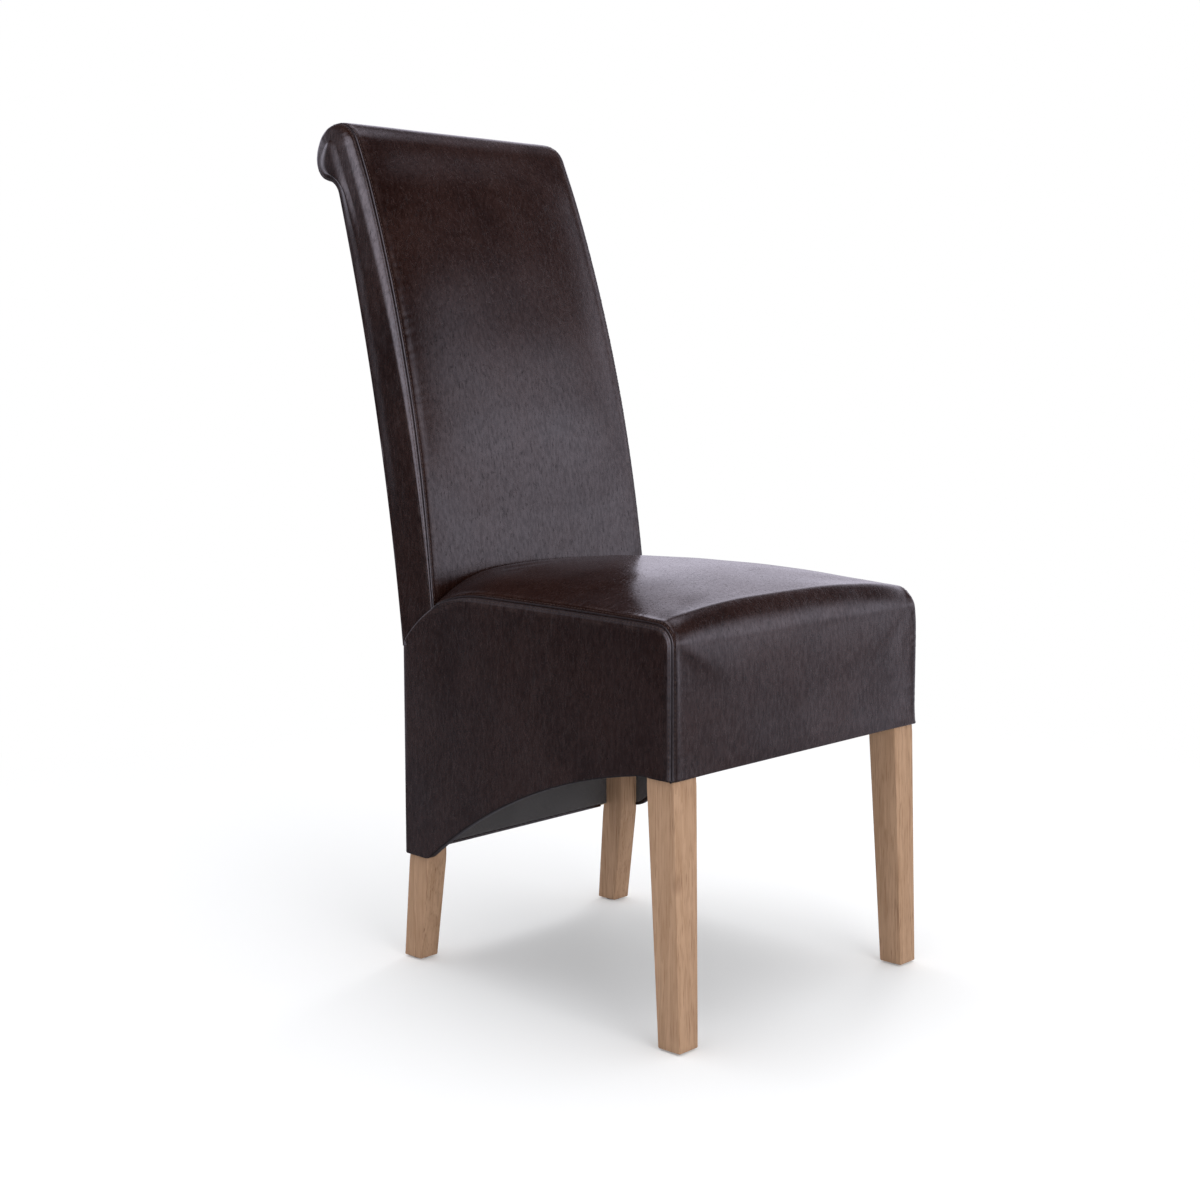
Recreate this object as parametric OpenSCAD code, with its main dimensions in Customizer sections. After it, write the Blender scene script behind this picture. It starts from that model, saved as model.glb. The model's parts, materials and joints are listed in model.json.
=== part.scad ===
// Scroll-back leather dining chair.
// The front of the chair faces -Y. Right and left are the sitter's: right is -X, left is +X.
// Sizes are in millimetres. Depths (y) are measured from the front face of the seat
// and moved to the middle of the footprint at the end, in place().

/* [Overall] */
// Height to the top of the scroll
total_h = 1072; // [1020:1:1120]
// Height of the seam along the side of the seat
seat_h = 488; // [470:1:510]
// Width across the front of the seat
front_w = 480; // [460:1:510]
// Depth from the front face of the seat to the rear of the skirt
seat_d = 484; // [460:1:510]

/* [Back] */
// Width across the back
back_w = 402; // [390:1:430]
// Thickness of the upholstered back at the height of the seat
back_t = 64; // [60:1:70]
// Thickness of the back at the height of the scroll's middle
back_top_t = 42.5; // [41:0.5:48]
// Radius of the back's front face, seen from the side
front_curve_r = 2050; // [1900:10:2600]
// Lean of the front face at the height of the seat, in degrees
front_lean = 6.4; // [6:0.1:7]
// Lean of the rear face at the height of the seat, in degrees
rear_lean = 7.6; // [7:0.1:8]
// How far the back stands out behind the rear skirt at the height of the seat
rear_stand = 14; // [12:1:18]
// How far the back's cover laps below the top of the rear skirt
rear_lap = 6; // [4:0.5:9]
// Radius of the scroll at the top
scroll_r = 37; // [35:0.5:42]
// Radius of the hollow under the scroll
scroll_hollow_r = 25; // [18:1:30]
// How far the front of the back swells out at its middle
back_crown = 9; // [5:0.5:12]
// Radius of the back's front edges at the top; they are sharp at the seat
back_edge_r = 10; // [6:0.5:11]

/* [Seat] */
// How far the seat swells above its side seams
seat_crown = 32; // [18:1:36]
// Radius of the seat's front edge
front_edge_r = 24; // [18:1:32]
// Radius of the seat's side edges and front corners
side_edge_r = 11; // [8:0.5:13]
// How far the front face of the seat swells forward
front_bulge = 3; // [0:0.5:5]
// Radius on which the side seam drops at the rear
drop_r = 200; // [180:1:240]
// Length of the seam's drop, measured forward from the rear of the skirt
drop_len = 154; // [140:1:170]
// How far the side skirt stands out from the side of the back
skirt_step = 3; // [2.5:0.5:6]
// Depth to which seat and back covers tuck in below the seam
tuck_h = 45; // [30:1:50]

/* [Hems] */
// Height of the front skirt, from the side seam to the hem
front_skirt_h = 177; // [168:1:188]
// Height of the rear hem
rear_hem_h = 140; // [125:1:160]
// Length of the level side hem behind the front corner
front_hem_flat = 50; // [47:1:60]
// Length of the level side hem before the rear corner
rear_hem_flat = 46; // [44:1:56]
// Radius of the arched side hem
hem_arc_r = 854; // [760:1:1000]

/* [Upholstery] */
// Thickness of the leather
leather_t = 1.2; // [1:0.1:1.6]
// Thickness of the wadding over the frame
pad_t = 2; // [1.5:0.1:3]
// Clearance between one soft layer and the next
fit_gap = 0.3; // [0.2:0.05:0.4]
// Thickness of the foam on the front of the back
back_foam_t = 15; // [14:0.5:17]
// Thickness of the scroll's bent board
scroll_board_t = 3; // [2:0.5:4]
// Thickness of the black lining
lining_t = 0.6; // [0.4:0.1:0.8]
// Width of the elastic webbing
web_w = 50; // [44:1:56]
// Thickness of the elastic webbing
web_t = 1.2; // [1:0.1:1.6]

/* [Front legs] */
// Width of the front leg's square section
leg_w = 40; // [38:1:44]
// Width of the front leg at the foot
foot_w = 32; // [28:1:36]
// How far the front foot stands forward of the leg
leg_splay = 11; // [4:1:16]

/* [Rear posts] */
// Width of the rear post
post_w = 32; // [30:1:36]
// Depth of the rear post
post_d = 36; // [34:1:39]
// Width of the rear foot
rear_foot_w = 29; // [26:1:30]
// Depth of the rear foot
rear_foot_d = 31; // [27:1:33]
// How far the rear foot kicks back
post_kick = 12; // [6:1:18]

/* [Rails] */
// Thickness of the seat rails
rail_t = 22; // [20:1:24]
// Height of the seat rails
rail_h = 95; // [90:1:98]
// Height of the rails' underside above the front hem
rail_lift = 5; // [3:1:8]
// Thickness of the plywood aprons
ply_t = 6; // [5:0.5:7]
// How far the plywood stops above the leather hem
ply_lift = 2; // [1:0.5:4]
// Thickness of the back rails
back_rail_t = 20; // [18:1:24]
// Height of the back rails
back_rail_h = 60; // [54:1:66]
// Radius of the round rail in the scroll
scroll_rail_r = 15; // [12:0.5:18]

/* [Joints and fasteners] */
// Diameter of the dowels
dowel_d = 10; // [8:0.5:10]
// Length of a dowel
dowel_len = 48; // [40:1:50]
// Radial clearance of dowels, bolts, screws and nails in their holes
hole_gap = 0.05; // [0.02:0.01:0.08]
// Height of the corner blocks
block_h = 44; // [40:1:50]
// Distance from a corner block's sloping face to the middle of its leg
block_reach = 60; // [56:1:64]
// Shank diameter of the corner bolts
bolt_d = 8; // [6:0.5:8]
// Width across the corner bolt's hexagon
bolt_af = 13; // [12:0.5:13]
// Shank length of the corner bolts
bolt_len = 56; // [50:1:58]
// Radius of the washers
washer_r = 9; // [8:0.5:10]
// Thickness of the washers
washer_t = 1.6; // [1:0.1:2]
// Shank diameter of the block screws
screw_d = 4.5; // [4:0.5:5]
// Shank length of the block screws
screw_len = 24; // [20:1:26]
// Diameter of the foot glides
glide_d = 20; // [16:1:24]
// Thickness of the foot glides
glide_t = 2; // [1.5:0.5:3]
// Diameter of a glide's nail
nail_d = 2.4; // [2:0.2:3]
// Length of a glide's nail
nail_len = 16; // [12:1:20]

/* [Hidden] */

leather_colour = "#33231f";
oak_colour = "#b3906f";
pine_colour = "#d8bd8c";
ply_colour = "#c9a877";
foam_colour = "#e8e2c8";
wadding_colour = "#f2f2ee";
webbing_colour = "#3a3a3c";
lining_colour = "#2b2a2a";
steel_colour = "#a9adb1";
nylon_colour = "#1d1d1d";

$fn = 48;

// Layers behind the leather's outer surface
skin = leather_t + fit_gap;
face_inset = skin + pad_t;

// The side of the seat: a plane that closes in towards the rear
rear_w = back_w + 2 * skirt_step;
side_angle = atan((front_w - rear_w) / 2 / seat_d);
function side_x(y, inset = 0) = front_w / 2 - y * tan(side_angle) - inset / cos(side_angle);

// Heights of the seat frame
front_hem_h = seat_h - front_skirt_h;
rail_z = front_hem_h + rail_lift;
rail_top = rail_z + rail_h;
rail_mid = rail_z + rail_h / 2;
web_rise = web_t + 0.4;
foam_z = rail_top + web_rise + web_t;

// The back's front and rear faces, each an arc through a point at the height of the seat
rear_p = [seat_d + rear_stand, seat_h];
front_p = rear_p - [back_t, 0];
front_c = front_p + front_curve_r * [cos(front_lean), -sin(front_lean)];
scroll_z = total_h - scroll_r;
rear_rise = [front_y(0, scroll_z) + back_top_t, scroll_z] - rear_p;
rear_curve_r = rear_rise * rear_rise / (2 * rear_rise * [cos(rear_lean), -sin(rear_lean)]);
rear_c = rear_p + rear_curve_r * [cos(rear_lean), -sin(rear_lean)];
// Depth of a layer below the front face at a height, and the lean of a layer of either face
function front_y(depth, z) = front_c[0] - sqrt(pow(front_curve_r - depth, 2) - pow(z - front_c[1], 2));
function front_angle(depth, z) = 180 - asin((z - front_c[1]) / (front_curve_r - depth));
function rear_angle(depth, z) = 180 - asin((z - rear_c[1]) / (rear_curve_r + depth));

// The scroll lies inside the front face's arc and touches it
scroll_c = [front_y(scroll_r, scroll_z), scroll_z];
scroll_start = front_angle(scroll_r, scroll_z);

// The hollow under the scroll touches both the scroll and the rear face
to_rear_c = (rear_c - scroll_c) / norm(rear_c - scroll_c);
hollow_along = (pow(scroll_r + scroll_hollow_r, 2) - pow(rear_curve_r - scroll_hollow_r, 2)
                + pow(norm(rear_c - scroll_c), 2)) / (2 * norm(rear_c - scroll_c));
hollow_down = sqrt(pow(scroll_r + scroll_hollow_r, 2) - pow(hollow_along, 2));
hollow_c = scroll_c + hollow_along * to_rear_c + hollow_down * [to_rear_c[1], -to_rear_c[0]];
scroll_end = atan2(hollow_c[1] - scroll_c[1], hollow_c[0] - scroll_c[0]);
hollow_end = atan2(hollow_c[1] - rear_c[1], hollow_c[0] - rear_c[0]);

// Depths of the layers behind the back's front face, and the post's round head
post_front = skin + back_foam_t + fit_gap + web_t;
scroll_foam_t = back_foam_t - scroll_board_t;
head_r = scroll_r - skin - back_foam_t;

// Where the seat meets the back
drop_start = seat_d - drop_len;
tuck_z = seat_h - tuck_h;
seat_rear = front_y(0, tuck_z) - fit_gap;
cover_rear_low = seat_h - (drop_r - sqrt(pow(drop_r, 2) - pow(drop_len, 2)));

// The legs
leg_x = side_x(face_inset + leg_w, face_inset);
post_x = back_w / 2 - skin;
post_y = seat_d - face_inset - post_d;
post_bend = 44;

// Middle of the footprint, between the foremost and rearmost points
foremost = min(-front_bulge, face_inset - leg_splay);
rearmost = scroll_c[0] + scroll_r;
middle_y = (foremost + rearmost) / 2;

// Corner blocks: middle of the leg, its half sizes and the way into the seat
front_corner = [leg_x - leg_w / 2, face_inset + leg_w / 2];
rear_corner = [post_x - post_w / 2, post_y + post_d / 2];
rear_rail_y = post_y + post_d - ply_t - rail_t;

// Heights of the back rails' middles, the middle rail halfway
low_rail_rise = 0.75 * back_rail_h;
top_rail_drop = 3.5 * scroll_r;
back_rail_zs = [seat_h + low_rail_rise, (seat_h + low_rail_rise + total_h - top_rail_drop) / 2,
                total_h - top_rail_drop];
back_rail_front = post_front + web_t;
scroll_tenon_r = scroll_rail_r * 0.55;
scroll_tenon_len = post_w / 2;

// Points and paths

function arc_points(c, r, from, to, steps) =
    [for (i = [0 : steps]) let (a = from + (to - from) * i / steps) c + r * [cos(a), sin(a)]];

// The front face of the back from height z0 up to the scroll, at a depth below the leather
function back_front_path(depth, z0, steps = 14) =
    arc_points(front_c, front_curve_r - depth, front_angle(depth, z0), scroll_start, steps);

// The scroll from its touch on the front face over the top to the hollow
function scroll_path(depth, steps = 18) =
    arc_points(scroll_c, scroll_r - depth, scroll_start, scroll_end, steps);

// The hollow and the rear face down to height z0
function back_rear_path(depth, z0, steps = 14) = concat(
    arc_points(hollow_c, scroll_hollow_r + depth, scroll_end + 180, hollow_end, 8),
    [for (i = [1 : steps])
        arc_points(rear_c, rear_curve_r + depth, hollow_end, rear_angle(depth, z0), steps)[i]]
);

// Radius of the back's front edges: it grows up the back and dies away behind the scroll
function edge_r_at(z) = back_edge_r * min(1, max(0, (z - seat_h) / (scroll_z - seat_h)));
// How far a rounded edge of radius r falls back, a distance x from the edge
function edge_fall(r, x) = x >= r ? 0 : r - sqrt(r * r - pow(r - max(0, x), 2));

// The whole side view of the back, notched to lap over the rear skirt
function back_outline() = concat(
    [for (p = back_front_path(0, cover_rear_low)) p + edge_r_at(p[1]) * (front_c - p) / norm(front_c - p)],
    [for (i = [1 : 18]) scroll_path(back_edge_r * (1 - i / 18))[i]],
    [for (i = [1 : 22]) back_rear_path(0, cover_rear_low - rear_lap)[i]],
    [[seat_d, cover_rear_low - rear_lap], [seat_d, cover_rear_low]]
);

// A mesh through rings, each of an outer and an inner run of count points
function loft_faces(rings, count) = concat(
    [for (i = [0 : rings - 2], j = [0 : 2 * count - 1], half = [0, 1])
        let (k = (j + 1) % (2 * count), a = 2 * count * i, b = 2 * count * (i + 1))
        j < count ? (half == 0 ? [a + j, a + k, b + k] : [a + j, b + k, b + j])
                  : (half == 0 ? [a + j, a + k, b + j] : [a + k, b + k, b + j])],
    [for (j = [0 : count - 2], side = [0, 1], half = [0, 1])
        let (a = side * (rings - 1) * 2 * count, m = 2 * count - 1,
             face = half == 0 ? [a + j, a + m - j, a + j + 1] : [a + j + 1, a + m - j, a + m - j - 1])
        side == 0 ? face : [face[0], face[2], face[1]]]
);
// Runs at each station, outer and inner as many points
module loft(outers, inners) {
    count = len(outers[0]);
    polyhedron(
        points = concat([for (i = [0 : len(outers) - 1]) each closed(outers[i], inners[i])]),
        faces = loft_faces(len(outers), count), convexity = 6);
}
function closed(outer, inner) = concat(outer, [for (i = [len(inner) - 1 : -1 : 0]) inner[i]]);

// Stations across the width, closer together near the seams
stations = [for (i = [-8 : 8]) sin(i * 90 / 8)];
function swell(u) = 1 - pow(abs(u), 3.2);

module place() {
    translate([0, -middle_y, 0]) children();
}
// Right is -X: the left piece is drawn and mirrored
module on_right(right) {
    place() mirror([right ? 1 : 0, 0, 0]) children();
}
// A profile in (y, z), drawn out along x
module across(from, to) {
    translate([from, 0, 0]) rotate([90, 0, 90]) linear_extrude(height = to - from) children();
}
// A profile in (x, z), drawn out along the whole depth
module through(points) {
    translate([0, 2 * seat_d, 0]) rotate([90, 0, 0]) linear_extrude(height = 3 * seat_d) polygon(points);
}
// A profile in (distance along the side, z), laid on the left side at a depth below its surface
module on_side(inset, t) {
    translate([front_w / 2, 0, 0]) rotate([0, 0, side_angle])
        translate([-inset - t, 0, 0]) rotate([90, 0, 90]) linear_extrude(height = t) children();
}
function along(y) = y / cos(side_angle);
// The room between two depths, over the whole width and height
module between(y0, y1) {
    translate([-front_w, y0, -1]) cube([2 * front_w, y1 - y0, total_h + 2]);
}
// A frame on a layer behind the back's front face: +Y runs to the rear, +Z up
module at_back(depth, z) {
    translate([0, front_y(depth, z), z]) rotate([front_angle(depth, z) - 180, 0, 0]) children();
}

// Side skirt outline

// Centre of the arched hem through its two ends
hem_a = [front_hem_flat, front_hem_h];
hem_b = [seat_d - rear_hem_flat, rear_hem_h];
hem_mid = (hem_a + hem_b) / 2;
hem_dir = (hem_b - hem_a) / norm(hem_b - hem_a);
hem_c = hem_mid + sqrt(pow(hem_arc_r, 2) - pow(norm(hem_b - hem_a) / 2, 2)) * [hem_dir[1], -hem_dir[0]];
function hem_angle(p) = atan2(p[1] - hem_c[1], p[0] - hem_c[0]);
function hem_points(lift, steps = 20) =
    [for (p = arc_points(hem_c, hem_arc_r + lift, hem_angle(hem_b), hem_angle(hem_a), steps)) p];
// The side seam at a depth y, and how far the seat's edge is rounded there
function drop_z(y) =
    y < drop_start ? seat_h : seat_h - drop_r + sqrt(pow(drop_r, 2) - pow(y - drop_start, 2));
function side_edge_at(y) = side_edge_r * (1 - eased((y - drop_start) / (seat_rear - drop_start)));

// Side cover: straight seam, rounded front corner, dropping rear, arched hem
function side_outline() = concat(
    [[side_edge_r, front_hem_h]],
    arc_points([front_edge_r, seat_h - front_edge_r], front_edge_r - side_edge_r, 180, 90, 8),
    [for (i = [0 : 10]) let (y = drop_start + drop_len * i / 10) [y, drop_z(y) - side_edge_at(y)]],
    [[seat_d, rear_hem_h], [hem_b[0], rear_hem_h]],
    [for (i = [1 : 20]) hem_points(0)[i]]
);
function on_line(points) = [for (p = points) [along(p[0]), p[1]]];

// Legs and posts

// Front leg: square inside the seat, tapered and splayed below the hem
module front_leg_body() {
    intersection() {
        across(leg_x - leg_w, leg_x) polygon([
            [face_inset - leg_splay, glide_t], [face_inset - leg_splay + foot_w, glide_t],
            [face_inset + leg_w, front_hem_h], [face_inset + leg_w, rail_top],
            [face_inset, rail_top], [face_inset, front_hem_h]
        ]);
        through([
            [leg_x - foot_w, glide_t], [leg_x, glide_t], [leg_x, rail_top], [leg_x - leg_w, rail_top],
            [leg_x - leg_w, front_hem_h]
        ]);
    }
}
module front_leg(right) {
    color(oak_colour) on_right(right) difference() {
        front_leg_body();
        front_leg_holes();
        glide_nail(front_foot_c(), hole_gap);
    }
}

// Rear post: foot, upright, curved blade and scroll head in one piece
module post_profile() {
    polygon(concat(
        [[post_y + post_d + post_kick - rear_foot_d, glide_t], [post_y + post_d + post_kick, glide_t],
         [post_y + post_d, rear_hem_h], [post_y + post_d, cover_rear_low]],
        [for (i = [22 : -1 : 0]) back_rear_path(face_inset, cover_rear_low + post_bend)[i]],
        [scroll_c],
        arc_points(front_c, front_curve_r - post_front, front_angle(post_front, scroll_z),
                   front_angle(post_front, rail_top + post_bend), 20),
        [[post_y, rail_top], [post_y, rear_hem_h]]
    ));
    translate(scroll_c) circle(r = head_r);
}
module rear_post(right) {
    color(oak_colour) on_right(right) difference() {
        intersection() {
            across(post_x - post_w, post_x) post_profile();
            through([
                [post_x - rear_foot_w, glide_t], [post_x, glide_t], [post_x, total_h],
                [post_x - post_w, total_h], [post_x - post_w, rear_hem_h]
            ]);
        }
        rear_post_holes();
        glide_nail(rear_foot_c(), hole_gap);
    }
}

// Seat frame

module front_rail() {
    color(pine_colour) place() difference() {
        translate([-(leg_x - leg_w), face_inset, rail_z]) cube([2 * (leg_x - leg_w), rail_t, rail_h]);
        both_sides() front_dowels(hole_gap);
        both_sides() block_screw_front(hole_gap);
    }
}
module rear_rail() {
    color(pine_colour) place() difference() {
        translate([-(post_x - post_w), rear_rail_y, rail_z]) cube([2 * (post_x - post_w), rail_t, rail_h]);
        both_sides() rear_dowels(hole_gap);
        both_sides() block_screw_rear(hole_gap);
    }
}
module side_rail(right) {
    color(pine_colour) on_right(right) difference() {
        intersection() {
            on_side(face_inset + ply_t, rail_t)
                translate([-seat_d, rail_z]) square([3 * seat_d, rail_h]);
            between(face_inset + leg_w, post_y);
        }
        side_dowels(hole_gap);
        block_screw_side_front(hole_gap);
        block_screw_side_rear(hole_gap);
    }
}

module both_sides() {
    children();
    mirror([1, 0, 0]) children();
}

// Dowels between the rails and the legs, in pairs one above the other
front_dowel_rise = rail_h * 0.32;
side_dowel_rise = rail_h * 0.15;
module dowel_pair(p, axis, rise, gap) {
    for (s = [-1, 1])
        translate([p[0], p[1], rail_mid + s * rise])
            rotate(axis == "x" ? [0, 90, 0] : [90, 0, 0])
                cylinder(d = dowel_d + 2 * gap, h = dowel_len + (gap > 0 ? 2 : 0), center = true);
}
module front_dowels(gap) {
    dowel_pair([leg_x - leg_w, face_inset + rail_t / 2], "x", front_dowel_rise, gap);
}
module rear_dowels(gap) {
    dowel_pair([post_x - post_w, rear_rail_y + rail_t / 2], "x", front_dowel_rise, gap);
}
module side_dowels(gap) {
    rail_axis = face_inset + ply_t + rail_t / 2;
    dowel_pair([side_x(face_inset + leg_w, rail_axis), face_inset + leg_w], "y", side_dowel_rise, gap);
    dowel_pair([side_x(post_y, rail_axis), post_y], "y", side_dowel_rise, gap);
}
module seat_dowels() {
    color(ply_colour) place() both_sides() {
        front_dowels(0);
        rear_dowels(0);
        side_dowels(0);
    }
}

// Corner block: fills the corner behind the leg, cut off by a sloping face
module corner_wedge(c, way) {
    translate([c[0], c[1], rail_mid - block_h / 2]) linear_extrude(height = block_h)
        polygon([[0, 0], [-block_reach * sqrt(2), 0], [0, way * block_reach * sqrt(2)]]);
}
module corner_block(right, front) {
    c = front ? front_corner : rear_corner;
    way = front ? 1 : -1;
    color(pine_colour) on_right(right) difference() {
        corner_wedge(c, way);
        // the leg, the two rails and everything outside them
        translate([c[0] - (front ? leg_w : post_w) / 2, c[1] - (front ? leg_w : post_d) / 2, 0])
            cube([seat_d, front ? leg_w : post_d, total_h]);
        if (front) between(-seat_d, face_inset + rail_t);
        else between(rear_rail_y, 2 * seat_d);
        on_side(-seat_d, seat_d + face_inset + ply_t + rail_t)
            translate([-seat_d, 0]) square([3 * seat_d, total_h]);
        corner_bolt(c, way, hole_gap);
        block_screws_at(front, hole_gap);
    }
}

// Corner bolt: through the block into the leg, on the diagonal
module on_diagonal(c, way) {
    translate([c[0], c[1], rail_mid]) rotate([0, 0, way > 0 ? 135 : 225]) rotate([0, 90, 0]) children();
}
bolt_head_h = bolt_d * 0.65;
module corner_bolt(c, way, gap) {
    on_diagonal(c, way) translate([0, 0, block_reach + washer_t - bolt_len - (gap > 0 ? 1 : 0)])
        cylinder(d = bolt_d + 2 * gap, h = bolt_len + (gap > 0 ? 2 : bolt_head_h / 2));
}
module corner_bolts() {
    color(steel_colour) place() both_sides() for (way = [1, -1]) {
        c = way > 0 ? front_corner : rear_corner;
        corner_bolt(c, way, 0);
        on_diagonal(c, way) translate([0, 0, block_reach + washer_t])
            cylinder(d = bolt_af / cos(30), h = bolt_head_h, $fn = 6);
    }
}
module bolt_washers() {
    color(steel_colour) place() both_sides() for (way = [1, -1])
        on_diagonal(way > 0 ? front_corner : rear_corner, way) translate([0, 0, block_reach])
            difference() {
                cylinder(r = washer_r, h = washer_t);
                translate([0, 0, -1]) cylinder(d = bolt_d + 2 * hole_gap, h = washer_t + 2);
            }
}

// Block screws: one into each rail beside the corner, sunk in the sloping face
screw_out = block_reach * sqrt(2) * 0.72;
screw_head_d = screw_d * 1.9;
screw_head_h = 3;
screw_seat = 9;
module screw_at(p, axis, gap) {
    // p is the point on the rail's inner face, axis the way from the rail into the seat
    translate([p[0], p[1], rail_mid]) rotate([0, 0, axis]) rotate([0, 90, 0]) {
        translate([0, 0, screw_seat - screw_len - (gap > 0 ? 1 : 0)])
            cylinder(d = screw_d + 2 * gap, h = screw_len + (gap > 0 ? 2 : 0));
        translate([0, 0, screw_seat])
            cylinder(d = screw_head_d + 2 * gap * 4, h = gap > 0 ? 3 * block_reach : screw_head_h);
    }
}
module block_screw_front(gap) {
    screw_at([front_corner[0] - screw_out, face_inset + rail_t], 90, gap);
}
module block_screw_rear(gap) {
    screw_at([rear_corner[0] - screw_out, rear_rail_y], 270, gap);
}
module block_screw_side_front(gap) {
    y = front_corner[1] + screw_out;
    screw_at([side_x(y, face_inset + ply_t + rail_t), y], 180 + side_angle, gap);
}
module block_screw_side_rear(gap) {
    y = rear_corner[1] - screw_out;
    screw_at([side_x(y, face_inset + ply_t + rail_t), y], 180 + side_angle, gap);
}
module block_screws_at(front, gap) {
    if (front) {
        block_screw_front(gap);
        block_screw_side_front(gap);
    } else {
        block_screw_rear(gap);
        block_screw_side_rear(gap);
    }
}
module block_screws() {
    color(steel_colour) place() both_sides() for (front = [true, false]) block_screws_at(front, 0);
}

module front_leg_holes() {
    front_dowels(hole_gap);
    side_dowels(hole_gap);
    corner_bolt(front_corner, 1, hole_gap);
}
module rear_post_holes() {
    rear_dowels(hole_gap);
    side_dowels(hole_gap);
    corner_bolt(rear_corner, -1, hole_gap);
    back_dowels_left(hole_gap);
    translate([post_x - post_w - 1, scroll_c[0], scroll_c[1]]) rotate([0, 90, 0])
        cylinder(r = scroll_tenon_r + hole_gap, h = scroll_tenon_len + 2);
}

// Back frame

module back_rail(z) {
    color(pine_colour) place() difference() {
        at_back(back_rail_front, z) translate([-(post_x - post_w), 0, -back_rail_h / 2])
            cube([2 * (post_x - post_w), back_rail_t, back_rail_h]);
        both_sides() back_dowels_left(hole_gap);
    }
}
module back_dowels_left(gap) {
    for (z = back_rail_zs, s = [-1, 1])
        at_back(back_rail_front, z) translate([post_x - post_w, back_rail_t / 2, s * back_rail_h / 4])
            rotate([0, 90, 0])
                cylinder(d = dowel_d + 2 * gap, h = dowel_len + (gap > 0 ? 2 : 0), center = true);
}
module back_dowels() {
    color(ply_colour) place() both_sides() back_dowels_left(0);
}
// Round rail between the scroll heads, with a tenon at each end
module scroll_rail() {
    color(pine_colour) place() translate([0, scroll_c[0], scroll_c[1]]) rotate([0, 90, 0]) {
        cylinder(r = scroll_rail_r, h = 2 * (post_x - post_w), center = true);
        cylinder(r = scroll_tenon_r, h = 2 * (post_x - post_w + scroll_tenon_len), center = true);
    }
}
// Board bent over the scroll heads
module scroll_board() {
    color(ply_colour) place() across(-post_x, post_x) intersection() {
        translate(scroll_c) difference() {
            circle(r = head_r + scroll_board_t);
            circle(r = head_r);
        }
        polygon(concat([scroll_c],
                       arc_points(scroll_c, 2 * scroll_r, scroll_start - 8, scroll_end + 12, 6)));
    }
}

// Plywood aprons

module side_apron(right) {
    color(ply_colour) on_right(right) intersection() {
        on_side(face_inset, ply_t) polygon(on_line(concat(
            [[-1, rail_top], [-1, front_hem_h + ply_lift]],
            [for (i = [0 : 20]) hem_points(ply_lift)[20 - i]],
            [[seat_d, rear_hem_h + ply_lift], [seat_d, rail_top]]
        )));
        between(face_inset + leg_w, post_y);
    }
}
module rear_apron() {
    color(ply_colour) place()
        translate([-(post_x - post_w), post_y + post_d - ply_t, rear_hem_h + ply_lift])
            cube([2 * (post_x - post_w), ply_t, rail_top - rear_hem_h - ply_lift]);
}

// Webbing

// Straps woven over and under each other across the open seat frame
long_xs = [for (i = [-1.5 : 1 : 1.5]) i * (web_w + 24)];
cross_ys = [for (i = [0 : 3]) face_inset + rail_t + 60 + i * (post_y - face_inset - rail_t - 120) / 3];

// Height of a strap's underside at each crossing, as over or under
function strap_line(ends, crossings, first_over) = concat(
    [[ends[0], 0]],
    [for (i = [0 : len(crossings) - 1], side = [-1, 1])
        [crossings[i] + side * web_w * 0.56, (i + first_over) % 2 == 0 ? web_rise : 0]],
    [[ends[1], 0]]
);
function strap_profile(line) = concat(
    [for (p = line) [p[0], rail_top + p[1]]],
    [for (i = [len(line) - 1 : -1 : 0]) [line[i][0], rail_top + line[i][1] + web_t]]
);
module seat_webbing_long() {
    color(webbing_colour) place() for (i = [0 : 3])
        across(long_xs[i] - web_w / 2, long_xs[i] + web_w / 2) polygon(strap_profile(strap_line(
            [face_inset + 4, rear_rail_y + rail_t - 4], cross_ys, i % 2)));
}
module seat_webbing_cross() {
    color(webbing_colour) place() for (i = [0 : 3]) {
        reach = side_x(cross_ys[i] + web_w / 2, face_inset + ply_t) - 2;
        translate([0, cross_ys[i] + web_w / 2, 0]) rotate([90, 0, 0]) linear_extrude(height = web_w)
            polygon(strap_profile(strap_line([-reach, reach], long_xs, (i + 1) % 2)));
    }
}
// Straps across the back, fixed to the fronts of the posts
strap_low = back_rail_zs[0] + back_rail_h / 2 + 0.8 * web_w;
strap_high = back_rail_zs[2] - back_rail_h / 2;
back_strap_zs = [for (i = [0 : 4]) strap_low + i * (strap_high - strap_low) / 4];
module back_webbing() {
    color(webbing_colour) place() for (z = back_strap_zs)
        at_back(post_front, z) translate([4 - post_x, -web_t, -web_w / 2])
            cube([2 * (post_x - 4), web_t, web_w]);
}

// Soft shapes of the seat

// Rise of the seat's crown at a depth: lower at the front edge, full over the middle, and
// a little lower again towards the back
function eased(t) = let (c = min(1, max(0, t))) c * c * (3 - 2 * c);
function seat_rise(y) =
    seat_crown * (0.55 + 0.45 * eased(y / (0.36 * seat_d)) - 0.28 * eased((y / seat_d - 0.5) / 0.4));
// The front face swells most halfway down
function front_swell(z) =
    front_bulge * sin(180 * min(1, max(0, (z - front_hem_h) / (seat_h - front_hem_h))));
// At the rear corners the seat's edge follows the dropping seam
function edge_drop(y, u) = (seat_h - drop_z(y)) * pow(abs(u), 5);

// Path over the seat at a depth below its surface: up from the tuck, forward, round the front
// edge and down the front face to height z0
rear_turn = 6;
function seat_path(d, z_rear, z0) = concat(
    [[seat_rear - d, z_rear], [seat_rear - d, seat_h - d - rear_turn]],
    [for (i = [0 : 8])
        let (y0 = seat_rear - d - rear_turn) [y0 + (front_edge_r - y0) * i / 9, seat_h - d]],
    arc_points([front_edge_r, seat_h - front_edge_r], front_edge_r - d, 90, 180, 7),
    [for (i = [1 : 4]) [d, seat_h - front_edge_r + (z0 - seat_h + front_edge_r) * i / 4]]
);
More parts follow.
